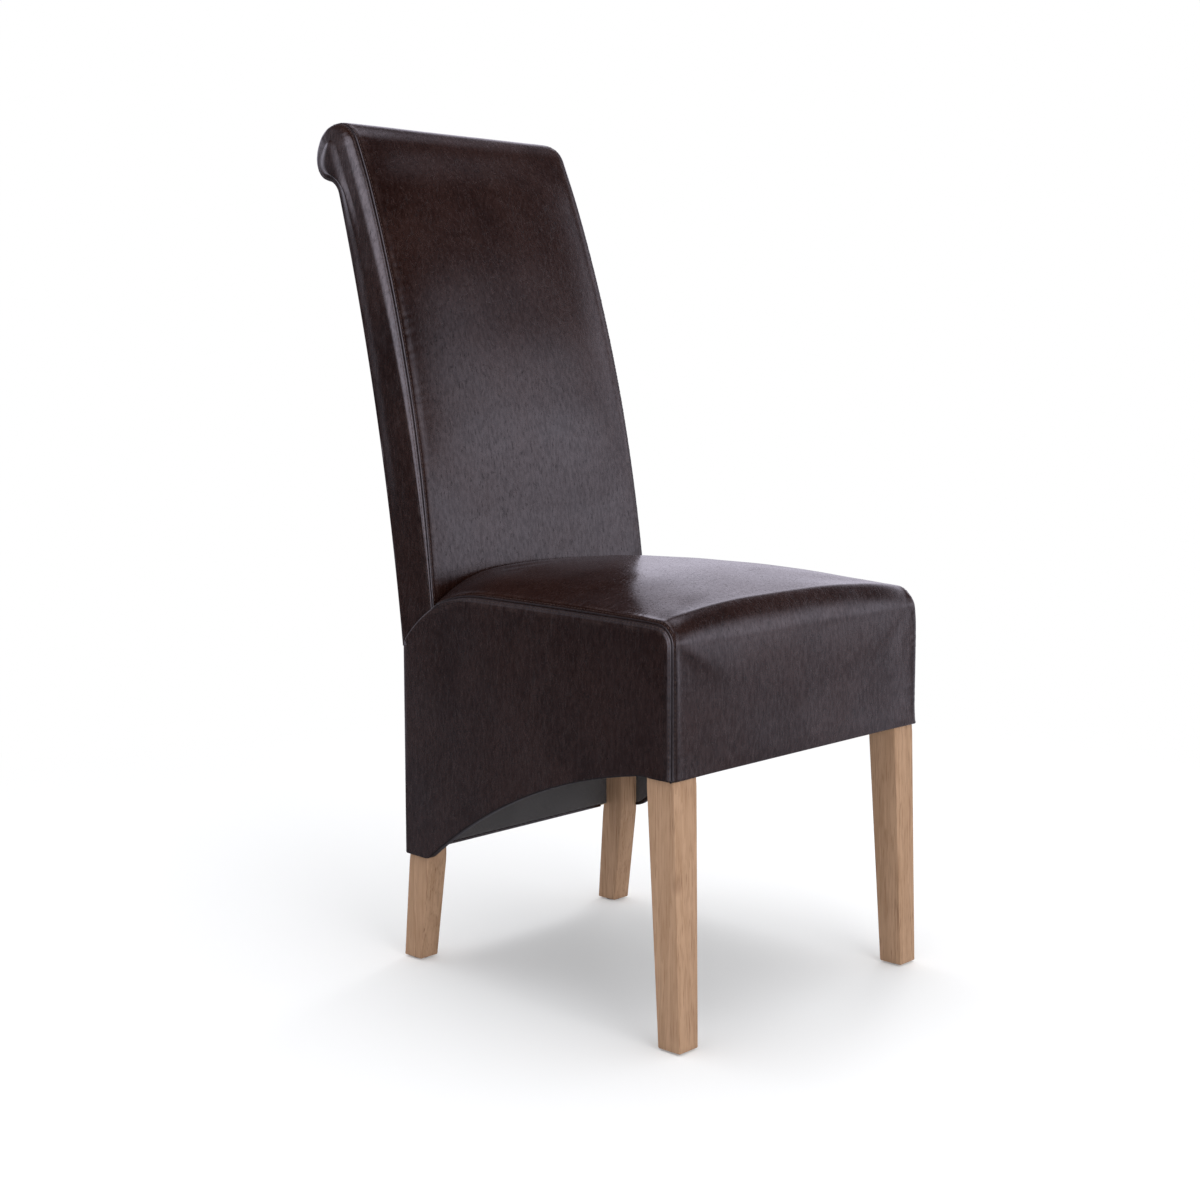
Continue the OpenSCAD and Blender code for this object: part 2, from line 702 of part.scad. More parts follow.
// Share of the crown that a point of the path takes: all on top, none below the edges
function crown_share(i) =
    i == 0 ? 0 : i == 1 ? 0.8 : i < 12 ? 1 : i < 18 ? pow(cos((i - 11) * 90 / 7), 2) : 0;
function seat_ring(d, z_rear, z0, u, inset) = [for (i = [0 : 22])
    let (y = seat_path(d, z_rear, z0)[i][0],
         fall = i < 2 ? 0 : edge_fall(side_edge_at(y), (1 - abs(u)) * side_x(y, inset)),
         p = seat_path(d + fall, z_rear, z0)[i],
         front = i > 11 ? min(1, (i - 11) / 7) : 0)
    [u * side_x(p[0], inset),
     p[0] - swell(u) * front * front_swell(min(p[1], seat_h - front_edge_r)),
     p[1] + swell(u) * seat_rise(y) * crown_share(i) - (i == 0 ? 0 : edge_drop(y, u))]];

module seat_cover() {
    color(leather_colour) place() loft(
        [for (u = stations) seat_ring(0, tuck_z, front_hem_h, u, leather_t)],
        [for (u = stations) seat_ring(leather_t, tuck_z, front_hem_h, u, leather_t)]
    );
}
// The foam has a flat underside, with as many points as the top
module seat_foam() {
    tops = [for (u = stations)
        let (ring = seat_ring(skin, foam_z, foam_z, u, skin)) [for (i = [1 : len(ring) - 2]) ring[i]]];
    color(foam_colour) place() loft(tops, [for (top = tops)
        let (last = len(top) - 1, y0 = top[0][1], y1 = top[last][1], x0 = top[0][0], x1 = top[last][0])
        [for (i = [0 : last]) [x0 + (x1 - x0) * i / last, y0 + (y1 - y0) * i / last, foam_z]]]);
}

// Soft shapes of the back

// The back swells between the seat and the scroll, and not over the top
swell_run = 90;
function back_swell(z) =
    back_crown * eased((z - seat_h - seat_crown) / swell_run) * eased((total_h - z) / swell_run);
function back_point(p, u) =
    let (half = back_w / 2 - leather_t, out = (p - front_c) / norm(p - front_c),
         q = p + out * (back_swell(p[1]) * swell(u) - edge_fall(edge_r_at(p[1]), (1 - abs(u)) * half)))
    [u * half, q[0], q[1]];
// Behind the top of the scroll the swell and the rounding die away to the seam under it
function scroll_point(path, i, u) =
    let (p = path[i], half = back_w / 2 - leather_t, out = (p - scroll_c) / norm(p - scroll_c),
         fade = 1 - i / 18,
         q = p + out * (back_swell(p[1]) * swell(u) * fade
                        - edge_fall(back_edge_r * fade, (1 - abs(u)) * half)))
    [u * half, q[0], q[1]];
function scroll_ring(depth, u) =
    let (path = scroll_path(depth)) [for (i = [0 : 18]) scroll_point(path, i, u)];
function front_panel_ring(depth, z0, u) = concat(
    [for (p = back_front_path(depth, z0)) back_point(p, u)],
    [for (i = [1 : 18]) scroll_ring(depth, u)[i]]
);
module back_cover_front() {
    color(leather_colour) place() loft(
        [for (u = stations) front_panel_ring(0, tuck_z, u)],
        [for (u = stations) front_panel_ring(leather_t, tuck_z, u)]
    );
}
function flat_ring(path, x) = [for (p = path) [x, p[0], p[1]]];
module back_foam() {
    color(foam_colour) place() loft(
        [for (u = stations) [for (p = back_front_path(skin, tuck_z)) back_point(p, u)]],
        [for (u = stations)
            flat_ring(back_front_path(skin + back_foam_t - fit_gap, tuck_z), u * (back_w / 2 - leather_t))]
    );
}
module scroll_foam() {
    color(foam_colour) place() loft(
        [for (u = stations) scroll_ring(skin, u)],
        [for (u = stations)
            flat_ring(scroll_path(skin + scroll_foam_t - fit_gap), u * (back_w / 2 - leather_t))]
    );
}
// A layer on the rear of the back, from the hollow down to height z0
module rear_layer(depth, t, half_w, z0) {
    across(-half_w, half_w) polygon(closed(back_rear_path(depth, z0), back_rear_path(depth + t, z0)));
}
module back_cover_rear() {
    half = back_w / 2 - leather_t;
    low = cover_rear_low - rear_lap;
    color(leather_colour) place() {
        rear_layer(0, leather_t, half, low);
        // turned in below, against the rear skirt
        across(-half, half) polygon([
            [seat_d, low], [back_rear_path(0, low)[22][0], low],
            [back_rear_path(0, low + leather_t)[22][0], low + leather_t], [seat_d, low + leather_t]
        ]);
    }
}
module back_wadding() {
    color(wadding_colour) place() rear_layer(skin, pad_t, post_x, cover_rear_low - rear_lap + skin);
}
module back_gusset(right) {
    color(leather_colour) on_right(right)
        across(back_w / 2 - leather_t, back_w / 2) polygon(back_outline());
}

// Side and front coverings

module side_cover(right) {
    color(leather_colour) on_right(right) {
        intersection() {
            on_side(0, leather_t) polygon(on_line(side_outline()));
            between(0, seat_d);
        }
        // folded in along the dropping seam, as far as the back
        intersection() {
            across(back_w / 2, front_w / 2) polygon(closed(drop_path(0), drop_path(leather_t)));
            on_side(leather_t / 2, front_w) translate([-seat_d, 0]) square([3 * seat_d, total_h]);
        }
    }
}
function drop_path(lift) =
    [for (i = [0 : 8]) let (y = seat_rear + fit_gap + (seat_d - seat_rear - fit_gap) * i / 8)
        [y, drop_z(y) - lift]];
module side_wadding(right) {
    color(wadding_colour) on_right(right) intersection() {
        on_side(skin, pad_t) polygon(on_line(concat(
            [[side_edge_r, front_hem_h + ply_lift], [side_edge_r, foam_z - fit_gap],
             [seat_rear + fit_gap, foam_z - fit_gap]],
            drop_path(skin),
            [[seat_d, rear_hem_h + ply_lift], [hem_b[0], rear_hem_h + ply_lift]],
            [for (i = [1 : 20]) hem_points(ply_lift)[i]]
        )));
        between(side_edge_r, seat_d - skin);
    }
}
module front_wadding() {
    half = side_x(0, side_edge_r);
    color(wadding_colour) place()
        translate([-half, skin, front_hem_h + ply_lift])
            cube([2 * half, pad_t, foam_z - fit_gap - front_hem_h - ply_lift]);
}
module rear_skirt_cover() {
    half = side_x(seat_d, leather_t);
    color(leather_colour) place() translate([-half, seat_d - leather_t, rear_hem_h])
        cube([2 * half, leather_t, cover_rear_low - rear_hem_h]);
}
module rear_skirt_wadding() {
    color(wadding_colour) place() translate([-post_x, seat_d - face_inset, rear_hem_h + ply_lift])
        cube([2 * post_x, pad_t, cover_rear_low - rear_hem_h - ply_lift]);
}

// Linings

module dust_cover() {
    inset = face_inset + ply_t;
    y0 = face_inset + 2;
    y1 = post_y + post_d - ply_t - lining_t - 1;
    color(lining_colour) place() translate([0, 0, rail_z - lining_t]) linear_extrude(height = lining_t)
        difference() {
            polygon([
                [-side_x(y0, inset), y0], [side_x(y0, inset), y0],
                [side_x(y1, inset), y1], [-side_x(y1, inset), y1]
            ]);
            for (s = [-1, 1]) {
                translate([s * front_corner[0], front_corner[1]]) square(leg_w + 1, center = true);
                translate([s * rear_corner[0], rear_corner[1]])
                    square([post_w + 1, post_d + 1], center = true);
            }
        }
}
module rear_lining() {
    color(lining_colour) place()
        translate([-(post_x - post_w - 0.5), post_y + post_d - ply_t - lining_t, rear_hem_h + ply_lift + 1])
            cube([2 * (post_x - post_w - 0.5), lining_t, rail_z - rear_hem_h - ply_lift - 2]);
}
module side_lining(right) {
    color(lining_colour) on_right(right) intersection() {
        on_side(face_inset + ply_t, lining_t) polygon(on_line(concat(
            [for (i = [0 : 20]) hem_points(ply_lift + 1)[20 - i]],
            [[seat_d, rear_hem_h + ply_lift + 1], [seat_d, rail_z - 1],
             [0, rail_z - 1], [0, front_hem_h + ply_lift + 1]]
        )));
        between(face_inset + leg_w + 0.5, post_y - 0.5);
    }
}

// Feet

function front_foot_c() = [leg_x - foot_w / 2, face_inset - leg_splay + foot_w / 2];
function rear_foot_c() = [post_x - rear_foot_w / 2, post_y + post_d + post_kick - rear_foot_d / 2];
module glide_nail(c, gap) {
    translate([c[0], c[1], glide_t - 1]) cylinder(d = nail_d + 2 * gap, h = nail_len + (gap > 0 ? 2 : 1));
}
module foot_glides() {
    color(nylon_colour) place() both_sides() for (c = [front_foot_c(), rear_foot_c()]) {
        translate([c[0], c[1], 0]) cylinder(d = glide_d, h = glide_t);
        glide_nail(c, 0);
    }
}

front_leg(true);  // front_leg_right
front_leg(false);  // front_leg_left
rear_post(true);  // rear_post_right
rear_post(false);  // rear_post_left
front_rail();
rear_rail();
side_rail(true);  // side_rail_right
side_rail(false);  // side_rail_left
corner_block(true, true);  // corner_block_front_right
corner_block(false, true);  // corner_block_front_left
corner_block(true, false);  // corner_block_rear_right
corner_block(false, false);  // corner_block_rear_left
corner_bolts();
bolt_washers();
block_screws();
seat_dowels();
back_dowels();
back_rail(back_rail_zs[0]);  // back_bottom_rail
back_rail(back_rail_zs[1]);  // back_middle_rail
back_rail(back_rail_zs[2]);  // back_top_rail
scroll_rail();
scroll_board();
side_apron(true);  // side_apron_right
side_apron(false);  // side_apron_left
rear_apron();
seat_webbing_long();
seat_webbing_cross();
back_webbing();
seat_foam();
back_foam();
scroll_foam();
front_wadding();
side_wadding(true);  // side_wadding_right
side_wadding(false);  // side_wadding_left
rear_skirt_wadding();
back_wadding();
seat_cover();
side_cover(true);  // side_cover_right
side_cover(false);  // side_cover_left
rear_skirt_cover();
back_cover_front();
back_cover_rear();
back_gusset(true);  // back_gusset_right
back_gusset(false);  // back_gusset_left
dust_cover();
rear_lining();
side_lining(true);  // side_lining_right
side_lining(false);  // side_lining_left
foot_glides();
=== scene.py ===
import json
import math

import bpy
import numpy as np
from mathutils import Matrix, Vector


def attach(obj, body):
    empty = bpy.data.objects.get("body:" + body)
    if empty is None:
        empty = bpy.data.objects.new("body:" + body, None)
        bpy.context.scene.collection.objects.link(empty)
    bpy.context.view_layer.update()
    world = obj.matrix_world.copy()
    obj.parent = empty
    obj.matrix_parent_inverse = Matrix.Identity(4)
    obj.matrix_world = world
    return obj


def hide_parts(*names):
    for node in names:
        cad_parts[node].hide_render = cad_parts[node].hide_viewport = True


# Scroll-back leather dining chair. Sizes are in millimetres, with depths measured from the seat's front face,
# and toWorld() turns them into metres in the frame's own axes. The sitter's right is -X.
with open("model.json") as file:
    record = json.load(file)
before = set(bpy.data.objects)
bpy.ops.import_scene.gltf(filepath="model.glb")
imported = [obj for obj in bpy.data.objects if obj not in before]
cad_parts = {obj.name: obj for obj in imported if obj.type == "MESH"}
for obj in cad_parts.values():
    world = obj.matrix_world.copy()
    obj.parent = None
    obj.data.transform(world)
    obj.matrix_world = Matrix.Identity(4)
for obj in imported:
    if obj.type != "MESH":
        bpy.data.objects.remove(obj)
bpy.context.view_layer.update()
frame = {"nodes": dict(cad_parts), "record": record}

chair = {
    "seatHeight": 488.0, "seatDepth": 484.0, "frontWidth": 480.0, "backWidth": 402.0, "topHeight": 1072.0,
    "skirtStep": 3.0, "middle": 321.552, "leather": 1.2, "frontHem": 311.0, "rearHem": 140.0, "railUnder": 316.0}
seatHeight, seatDepth, frontHem, rearHem = (chair[key] for key in ("seatHeight", "seatDepth", "frontHem", "rearHem"))
halfBack = chair["backWidth"] / 2
tanSide = (chair["frontWidth"] - chair["backWidth"] - 2 * chair["skirtStep"]) / 2 / seatDepth
circle, phaseEnd = 6.283, 6.28  # a full turn, and the last phase that a wave can start with
upright = np.array([0, 0, 1])


def eased(t):
    t = np.clip(t, 0, 1)
    return t * t * (3 - 2 * t)


def bell(x, width):
    return np.exp(-(np.asarray(x) / width) ** 2)


def swell(u, power=3.2):
    return 1 - np.abs(u) ** power


def sideX(y):
    return chair["frontWidth"] / 2 - np.asarray(y) * tanSide


def toWorld(points):
    return (np.asarray(points, float) - [0, chair["middle"], 0]) / 1000


def unit(ways):
    return ways / np.linalg.norm(ways, axis=-1)[..., None]


def arc(centre, radius, start, end, count):
    a = np.radians(np.linspace(start, end, count))
    return np.stack([centre[0] + radius * np.cos(a), centre[1] + radius * np.sin(a)], 1)


def pathLength(points):
    return np.r_[0, np.cumsum(np.linalg.norm(np.diff(points, axis=0), axis=1))]


def resample(line, count=None, step=None):
    gaps = pathLength(line)
    count = count or max(2, int(round(gaps[-1] / step)) + 1)
    at = np.linspace(0, gaps[-1], count)
    return np.stack([np.interp(at, gaps, line[:, k]) for k in range(line.shape[1])], 1)


def gridQuads(at):
    return np.stack([at[:-1, :-1], at[:-1, 1:], at[1:, 1:], at[1:, :-1]], -1).reshape(-1, 4)


def placed(name, data):
    thing = bpy.data.objects.new(name, data)
    bpy.context.scene.collection.objects.link(thing)
    return thing


def addNode(tree, kind, settings=None, sockets=None):
    # a node, its settings set first, then the values or links of its sockets
    made = tree.nodes.new(kind)
    for key, value in (settings or {}).items():
        setattr(made, key, value)
    for key, value in (sockets or {}).items():
        value = getattr(value, "socket", value)
        if isinstance(value, bpy.types.NodeSocket):
            tree.links.new(value, made.inputs[key])
        else:
            made.inputs[key].default_value = value
    return made.outputs


# camera, at the photograph's place

view = {"place": (-1.8017, -1.66765, 0.776), "yaw": 47.054, "pitch": 7.245, "lens": 57.586, "sensor": 36}
yaw, pitch = math.radians(view["yaw"]), math.radians(view["pitch"])
looking = Vector((math.sin(yaw) * math.cos(pitch), math.cos(yaw) * math.cos(pitch), -math.sin(pitch)))
camera = placed("camera", bpy.data.cameras.new("camera"))
camera.data.lens, camera.data.sensor_width = view["lens"], view["sensor"]
camera.location, camera.rotation_euler = view["place"], looking.to_track_quat("-Z", "Y").to_euler()
bpy.context.scene.camera = camera


# materials

def mathsSign(operation, reflected=False):
    def act(self, other):
        return self.finish.maths(operation, *((other, self) if reflected else (self, other)))
    return act


class Wire:
    # a socket that adds Math nodes where it stands in an expression
    def __init__(self, finish, socket):
        self.finish, self.socket = finish, socket

    __add__, __radd__ = mathsSign("ADD"), mathsSign("ADD", True)
    __sub__, __rsub__ = mathsSign("SUBTRACT"), mathsSign("SUBTRACT", True)
    __mul__, __rmul__ = mathsSign("MULTIPLY"), mathsSign("MULTIPLY", True)


class Finish:
    # the nodes of a material, or of the world
    def __init__(self, name, owner=None, coordinates="Object"):
        self.owner = owner or bpy.data.materials.new(name)
        self.owner.use_nodes = True
        self.tree = self.owner.node_tree
        self.tree.nodes.clear()
        self.place = self.node("ShaderNodeTexCoord", out=coordinates)

    def node(self, kind, settings=None, sockets=None, out=0):
        outputs = addNode(self.tree, kind, settings, sockets)
        return Wire(self, outputs[out]) if len(outputs) else None

    def maths(self, operation, *values):
        return self.node("ShaderNodeMath", {"operation": operation}, dict(enumerate(values)))

    def vector(self, operation, sockets, out=0):
        return self.node("ShaderNodeVectorMath", {"operation": operation}, sockets, out)

    def dot(self, a, b):
        return self.vector("DOT_PRODUCT", {0: a, 1: b}, "Value")

    def step(self, value, low, high, to=(0, 1)):
        return self.node("ShaderNodeMapRange", {"interpolation_type": "SMOOTHSTEP"},
                         {"Value": value, "From Min": low, "From Max": high, "To Min": to[0], "To Max": to[1]})

    def mix(self, share, a, b):
        a, b = (x if isinstance(x, Wire) else (*x, 1) for x in (a, b))
        return self.node("ShaderNodeMix", {"data_type": "RGBA"}, {0: share, 6: a, 7: b}, 2)

    def blend(self, share, a, b):
        return self.node("ShaderNodeMixShader", {}, {0: share, 1: a, 2: b})

    def noise(self, where, scale, detail=2.0, rough=0.5, out=0):
        return self.node("ShaderNodeTexNoise", {},
                         {"Vector": where, "Scale": scale, "Detail": detail, "Roughness": rough}, out)

    def cells(self, where, scale):
        return self.node("ShaderNodeTexVoronoi", {"feature": "F1"}, {"Vector": where, "Scale": scale})

    def stretch(self, where, factors, turn=(0, 0, 0)):
        return self.node("ShaderNodeMapping", {}, {"Vector": where, "Scale": factors, "Rotation": turn})

    def warp(self, where, scale, amount, detail=2.0):
        moved = self.vector("SUBTRACT", {0: self.noise(where, scale, detail, out=1), 1: (0.5, 0.5, 0.5)})
        return self.vector("ADD", {0: where, 1: self.vector("SCALE", {0: moved, "Scale": amount})})

    def bump(self, height, depth, under=None):
        sockets = {"Height": height, "Distance": depth, "Strength": 1.0}
        return self.node("ShaderNodeBump", {}, sockets if under is None else {**sockets, "Normal": under})

    def emit(self, colour):
        return self.node("ShaderNodeEmission", {}, {"Color": colour, "Strength": 1.0})

    def close(self, kind, shader):
        self.node(kind, {}, {"Surface": shader})
        return self.owner

    def surface(self, **sockets):
        names = {key.replace("_", " "): value for key, value in sockets.items()}
        return self.close("ShaderNodeOutputMaterial", self.node("ShaderNodeBsdfPrincipled", {}, names))


leatherLook = {
    "dark": (0.0105, 0.0034, 0.0024), "light": (0.022, 0.0088, 0.0066), "crease": (0.070, 0.044, 0.039),
    "seam": (0.003, 0.0012, 0.001), "creaseTint": 0.06, "creaseSize": 34, "creaseDepth": 0.00005,
    "fibreSize": 260, "fibreDepth": 0.00009, "grainSize": 1300, "grainDepth": 0.00005, "pitSize": 330,
    "rough": 0.21, "coat": (0.14, 0.56), "coatRough": 0.13}


def creases(f, where, scale, width, broken):
    # short wandering lines, where a smooth field crosses its middle
    off = f.maths("ABSOLUTE", f.noise(where, scale, 3, 0.55) - 0.5)
    return f.step(off, 0.0, width, (1, 0)) * f.step(f.noise(where, broken, 2, 0.6), 0.46, 0.60)


def makeLeather(look):
    f = Finish("bondedLeather")
    cloudy = f.noise(f.place, 9, 4, 0.62)
    long = f.stretch(f.place, (1.0, 1.0, 0.34))
    fibre = f.noise(f.warp(long, 50, 0.008, 2), look["fibreSize"], 4, 0.66)
    bent = f.warp(f.stretch(f.place, (1.0, 1.15, 0.5), (0.12, 0.1, 0.3)), 30, 0.014, 3)
    turned = f.stretch(bent, (1, 1, 1), (1.1, 0.4, 2.0))
    net = creases(f, bent, look["creaseSize"], 0.014, 40)
    net = f.maths("MAXIMUM", net, creases(f, f.warp(long, 45, 0.010, 3), look["creaseSize"] * 1.6, 0.018, 58))
    net = f.maths("MAXIMUM", net, creases(f, turned, look["creaseSize"] * 2.6, 0.026, 80) * 0.7)
    pits = f.step(f.noise(f.warp(long, 90, 0.006, 2), look["pitSize"], 2, 0.5), 0.60, 0.70)
    grain = f.cells(f.place, look["grainSize"]) * 0.6 + f.noise(f.place, 700, 3) * 0.4
    # the per-point seam attribute read here: below 0 it paints shade into the seams, along the stitch rows, at the
    # front-corner seams and on the turned hems; above 0 it paints rubbed wear with a painted ridge highlight beside the
    # seams
    shadeAndWear = f.node("ShaderNodeAttribute", {"attribute_name": "shadeAndWear"}, out="Fac")
    rubbedAndHighlight, shadedAndDulled = f.maths("MAXIMUM", shadeAndWear, 0), f.maths("MAXIMUM", 0 - shadeAndWear, 0)
    colour = f.mix(f.step(cloudy * 0.5 + fibre * 0.5, 0.36, 0.64), look["dark"], look["light"])
    colour = f.mix(net * look["creaseTint"] + rubbedAndHighlight * 0.35, colour, look["crease"])
    # the near-black seam colour paints that shade; pits are the leather's pores
    colour = f.mix(f.maths("MINIMUM", shadedAndDulled * 0.85 + pits * 0.5, 0.9), colour, look["seam"])
    soft = look["rough"] + net * 0.10 + (cloudy - 0.5) * 0.16 + (fibre - 0.5) * 0.3 + pits * 0.12 + shadedAndDulled * 0.35
    normal = f.bump(fibre - pits * 0.35, look["fibreDepth"], f.bump(grain, look["grainDepth"]))
    shine = f.step(fibre + net * 0.03, 0.36, 0.64, look["coat"])
    shine = shine * (1 - pits * 0.6) * (1 - f.step(0 - shadeAndWear, 0, 0.9) * 0.85)
    return f.surface(Base_Color=colour, Roughness=soft, Normal=f.bump(1 - net, look["creaseDepth"], normal), IOR=1.5,
                     Coat_Weight=shine, Coat_Roughness=look["coatRough"], Specular_IOR_Level=0.4)


woodLook = {"pale": (0.455, 0.290, 0.186), "warm": (0.345, 0.208, 0.124), "streak": (0.17, 0.088, 0.048),
            "rough": 0.62, "knot": (-0.2275, -0.3205, 0.10835), "knotReach": 0.009, "along": 0.55}
frameLook = {"pale": (0.70, 0.55, 0.36), "warm": (0.60, 0.43, 0.25), "streak": (0.42, 0.27, 0.14), "rough": 0.68}


def makeWood(name, look):
    f = Finish(name)
    bent = f.warp(f.place, 7, 0.016, 2)
    rings = f.noise(f.stretch(bent, (34, 34, 1.6)), 1.0, 4, 0.6)
    fine = f.noise(f.stretch(f.place, (420, 420, 9)), 1.0, 3, 0.65)
    pores = f.step(f.noise(f.stretch(f.place, (900, 900, 28)), 1.0, 1), 0.60, 0.72)
    bands = f.step(f.maths("FRACT", rings * 7.0), 0.15, 0.95)
    figure = f.step(f.noise(f.stretch(f.warp(f.place, 24, 0.02, 2), (70, 70, 26), (0.5, 0.7, 0)), 1.0, 3), 0.42, 0.7)
    colour = f.mix(bands * 0.5 + fine * 0.2 + figure * 0.3, look["pale"], look["warm"])
    colour = f.mix(f.step(fine, 0.50, 0.76) * 0.5 + pores * 0.5, colour, look["streak"])
    if "knot" in look:
        reach, squeezed = look["knotReach"], f.stretch(bent, (1, 1, look["along"]))
        away = f.vector("DISTANCE", {0: squeezed, 1: look["knot"]}, "Value")
        colour = f.mix(f.step(away, reach * 0.25, reach, (0.4, 0)), colour, look["streak"])
    return f.surface(Base_Color=colour, Roughness=look["rough"] + fine * 0.12 + pores * 0.1,
                     Normal=f.bump(1 - pores * 0.6 - fine * 0.4, 0.00012), Specular_IOR_Level=0.15)


def makeWeave(name, colour, thread, pitch, depth=0.0003, rough=0.9):
    f = Finish(name)
    cloth = f.warp(f.place, 30, 0.002)
    x, y, z = (f.maths("SINE", f.node("ShaderNodeSeparateXYZ", {}, {0: cloth}, axis) * (2 * math.pi / pitch))
               for axis in range(3))
    weave = x * y * 0.5 + y * z * 0.5 + x * z * 0.5
    fuzz = f.noise(f.place, 700, 3, 0.7)
    shade = f.mix(f.step(weave + fuzz - 0.5, -0.6, 0.8), colour, thread)
    shade = f.mix(f.step(f.noise(f.place, 18, 3), 0.35, 0.75) * 0.3, shade, colour)
    return f.surface(Base_Color=shade, Roughness=rough - fuzz * 0.1, Normal=f.bump(weave * 0.5 + fuzz, depth),
                     Sheen_Weight=0.15, Sheen_Roughness=0.5)


smallLook = {  # two colours, the roughness and how it varies, and the depth of the bumps in metres
    "foam": ((0.55, 0.49, 0.30), (0.82, 0.76, 0.57), 0.95, -0.1, 0.0006),
    "steel": ((0.50, 0.51, 0.52), (0.68, 0.69, 0.70), 0.28, 0.18, 0.00005),
    "nylon": ((0.018, 0.018, 0.02), (0.07, 0.07, 0.075), 0.5, 0.2, 0.00008),
    "thread": ((0.028, 0.014, 0.010), (0.082, 0.048, 0.036), 0.6, 0.2, 0.0001)}


def closeSmall(f, key, share, vary, height, **sockets):
    low, high, rough, span, depth = smallLook[key]
    return f.surface(Base_Color=f.mix(share, low, high), Roughness=rough + vary * span,
                     Normal=f.bump(height, depth), **sockets)


def makeFoam():
    f = Finish("openCellFoam")
    cells = f.cells(f.place, 900)
    return closeSmall(f, "foam", f.step(cells, 0.1, 0.7), cells, cells)


def makeSteel():
    f = Finish("zincSteel")
    spangle = f.cells(f.warp(f.place, 90, 0.004), 160)
    scratches = f.noise(f.stretch(f.place, (300, 40, 300)), 1.0, 4)
    return closeSmall(f, "steel", f.step(spangle, 0.2, 0.8), scratches, scratches, Metallic=1.0)


def makeNylon():
    f = Finish("blackNylon")
    scuffs = f.step(f.noise(f.stretch(f.place, (60, 240, 60)), 1.0, 4), 0.55, 0.8)
    return closeSmall(f, "nylon", scuffs * 0.5, scuffs, f.noise(f.place, 1500, 3))


def makeThread():
    f = Finish("sewingThread")
    twist = f.noise(f.stretch(f.place, (2600, 2600, 2600)), 1.0, 2)
    return closeSmall(f, "thread", twist, twist, twist, Specular_IOR_Level=0.3)


leather = makeLeather(leatherLook)
legWood, frameWood = makeWood("paleLegWood", woodLook), makeWood("frameWood", frameLook)
lining = makeWeave("greyLining", (0.040, 0.037, 0.037), (0.125, 0.118, 0.118), 0.0016)
dustCloth = makeWeave("dustCloth", (0.018, 0.018, 0.019), (0.045, 0.045, 0.047), 0.0022)
webbing = makeWeave("elasticWebbing", (0.02, 0.02, 0.022), (0.09, 0.09, 0.095), 0.003, 0.0006)
foam, steel, nylon, thread = makeFoam(), makeSteel(), makeNylon(), makeThread()
slotFinish = {"leather": leather, "leg_wood": legWood, "frame_wood": frameWood, "plywood": frameWood, "foam": foam,
              "wadding": foam, "webbing": webbing, "lining": lining, "steel": steel, "glide": nylon}
for part in frame["record"]["subparts"]:  # carried-over CAD nodes keep their shape and take a real finish
    node = frame["nodes"][part["node"]]
    node.data.materials.clear()
    node.data.materials.append(slotFinish[part["material_slot"]])
print("materials made")


# outlines shared by the pieces

backShape = {"thickness": 64.0, "topThickness": 42.5, "rearStand": 14.0, "frontLean": 6.4, "rearLean": 7.6,
             "frontRadius": 2050.0, "scrollRadius": 37.0, "hollowRadius": 25.0}
leanFront, leanRear = math.radians(backShape["frontLean"]), math.radians(backShape["rearLean"])
frontR, scrollR, hollowR = backShape["frontRadius"], backShape["scrollRadius"], backShape["hollowRadius"]
rearPoint = np.array([seatDepth + backShape["rearStand"], seatHeight])
frontC = rearPoint - [backShape["thickness"], 0] + frontR * np.array([math.cos(leanFront), -math.sin(leanFront)])
scrollZ = chair["topHeight"] - scrollR


def frontY(z, depth=0.0):
    return frontC[0] - np.sqrt((frontR - depth) ** 2 - (np.asarray(z) - frontC[1]) ** 2)


rearAim = np.array([math.cos(leanRear), -math.sin(leanRear)])
rearTop = np.array([frontY(scrollZ) + backShape["topThickness"], scrollZ]) - rearPoint
rearR = rearTop @ rearTop / (2 * rearTop @ rearAim)
rearC = rearPoint + rearR * rearAim
scrollC = np.array([frontY(scrollZ, scrollR), scrollZ])
scrollStart = 180 - math.degrees(math.asin((scrollZ - frontC[1]) / (frontR - scrollR)))
toRear = rearC - scrollC
gap = np.linalg.norm(toRear)
hollowAlong = ((scrollR + hollowR) ** 2 - (rearR - hollowR) ** 2 + gap ** 2) / (2 * gap)
hollowDown = math.sqrt((scrollR + hollowR) ** 2 - hollowAlong ** 2)
hollowC = scrollC + (hollowAlong * toRear + hollowDown * np.array([toRear[1], -toRear[0]])) / gap
scrollEnd = math.degrees(math.atan2(*(hollowC - scrollC)[::-1]))
hollowEnd = math.degrees(math.atan2(*(hollowC - rearC)[::-1])) % 360


def rearY(z, depth=0.0):
    return rearC[0] - np.sqrt((rearR + depth) ** 2 - (np.asarray(z) - rearC[1]) ** 2)


seatShape = {"crown": 32.0, "frontEdge": 24.0, "sideEdge": 11.0, "bulge": 3.0, "dropRadius": 200.0,
             "dropLength": 154.0, "rearTurn": 12.0, "tuck": 45.0, "soften": 4.0, "behind": 0.6, "hemLift": 2.4,
             "step": 2.2, "lowFront": 0.45, "lowRear": 0.28, "frontReach": 0.36, "rearReach": 0.4}
dropStart = seatDepth - seatShape["dropLength"]
seatRear = float(frontY(seatHeight - seatShape["tuck"])) - 0.5


def dropZ(y):
    past = np.maximum(0, np.asarray(y, float) - dropStart)
    return seatHeight - seatShape["dropRadius"] + np.sqrt(seatShape["dropRadius"] ** 2 - past ** 2)


def sideEdge(y):
    return seatShape["sideEdge"] * (1 - eased((np.asarray(y) - dropStart) / (seatRear - dropStart)))


def edgeFall(r, x):
    return np.where(x >= r, 0, r - np.sqrt(np.maximum(0, r * r - (r - np.clip(x, 0, r)) ** 2)))


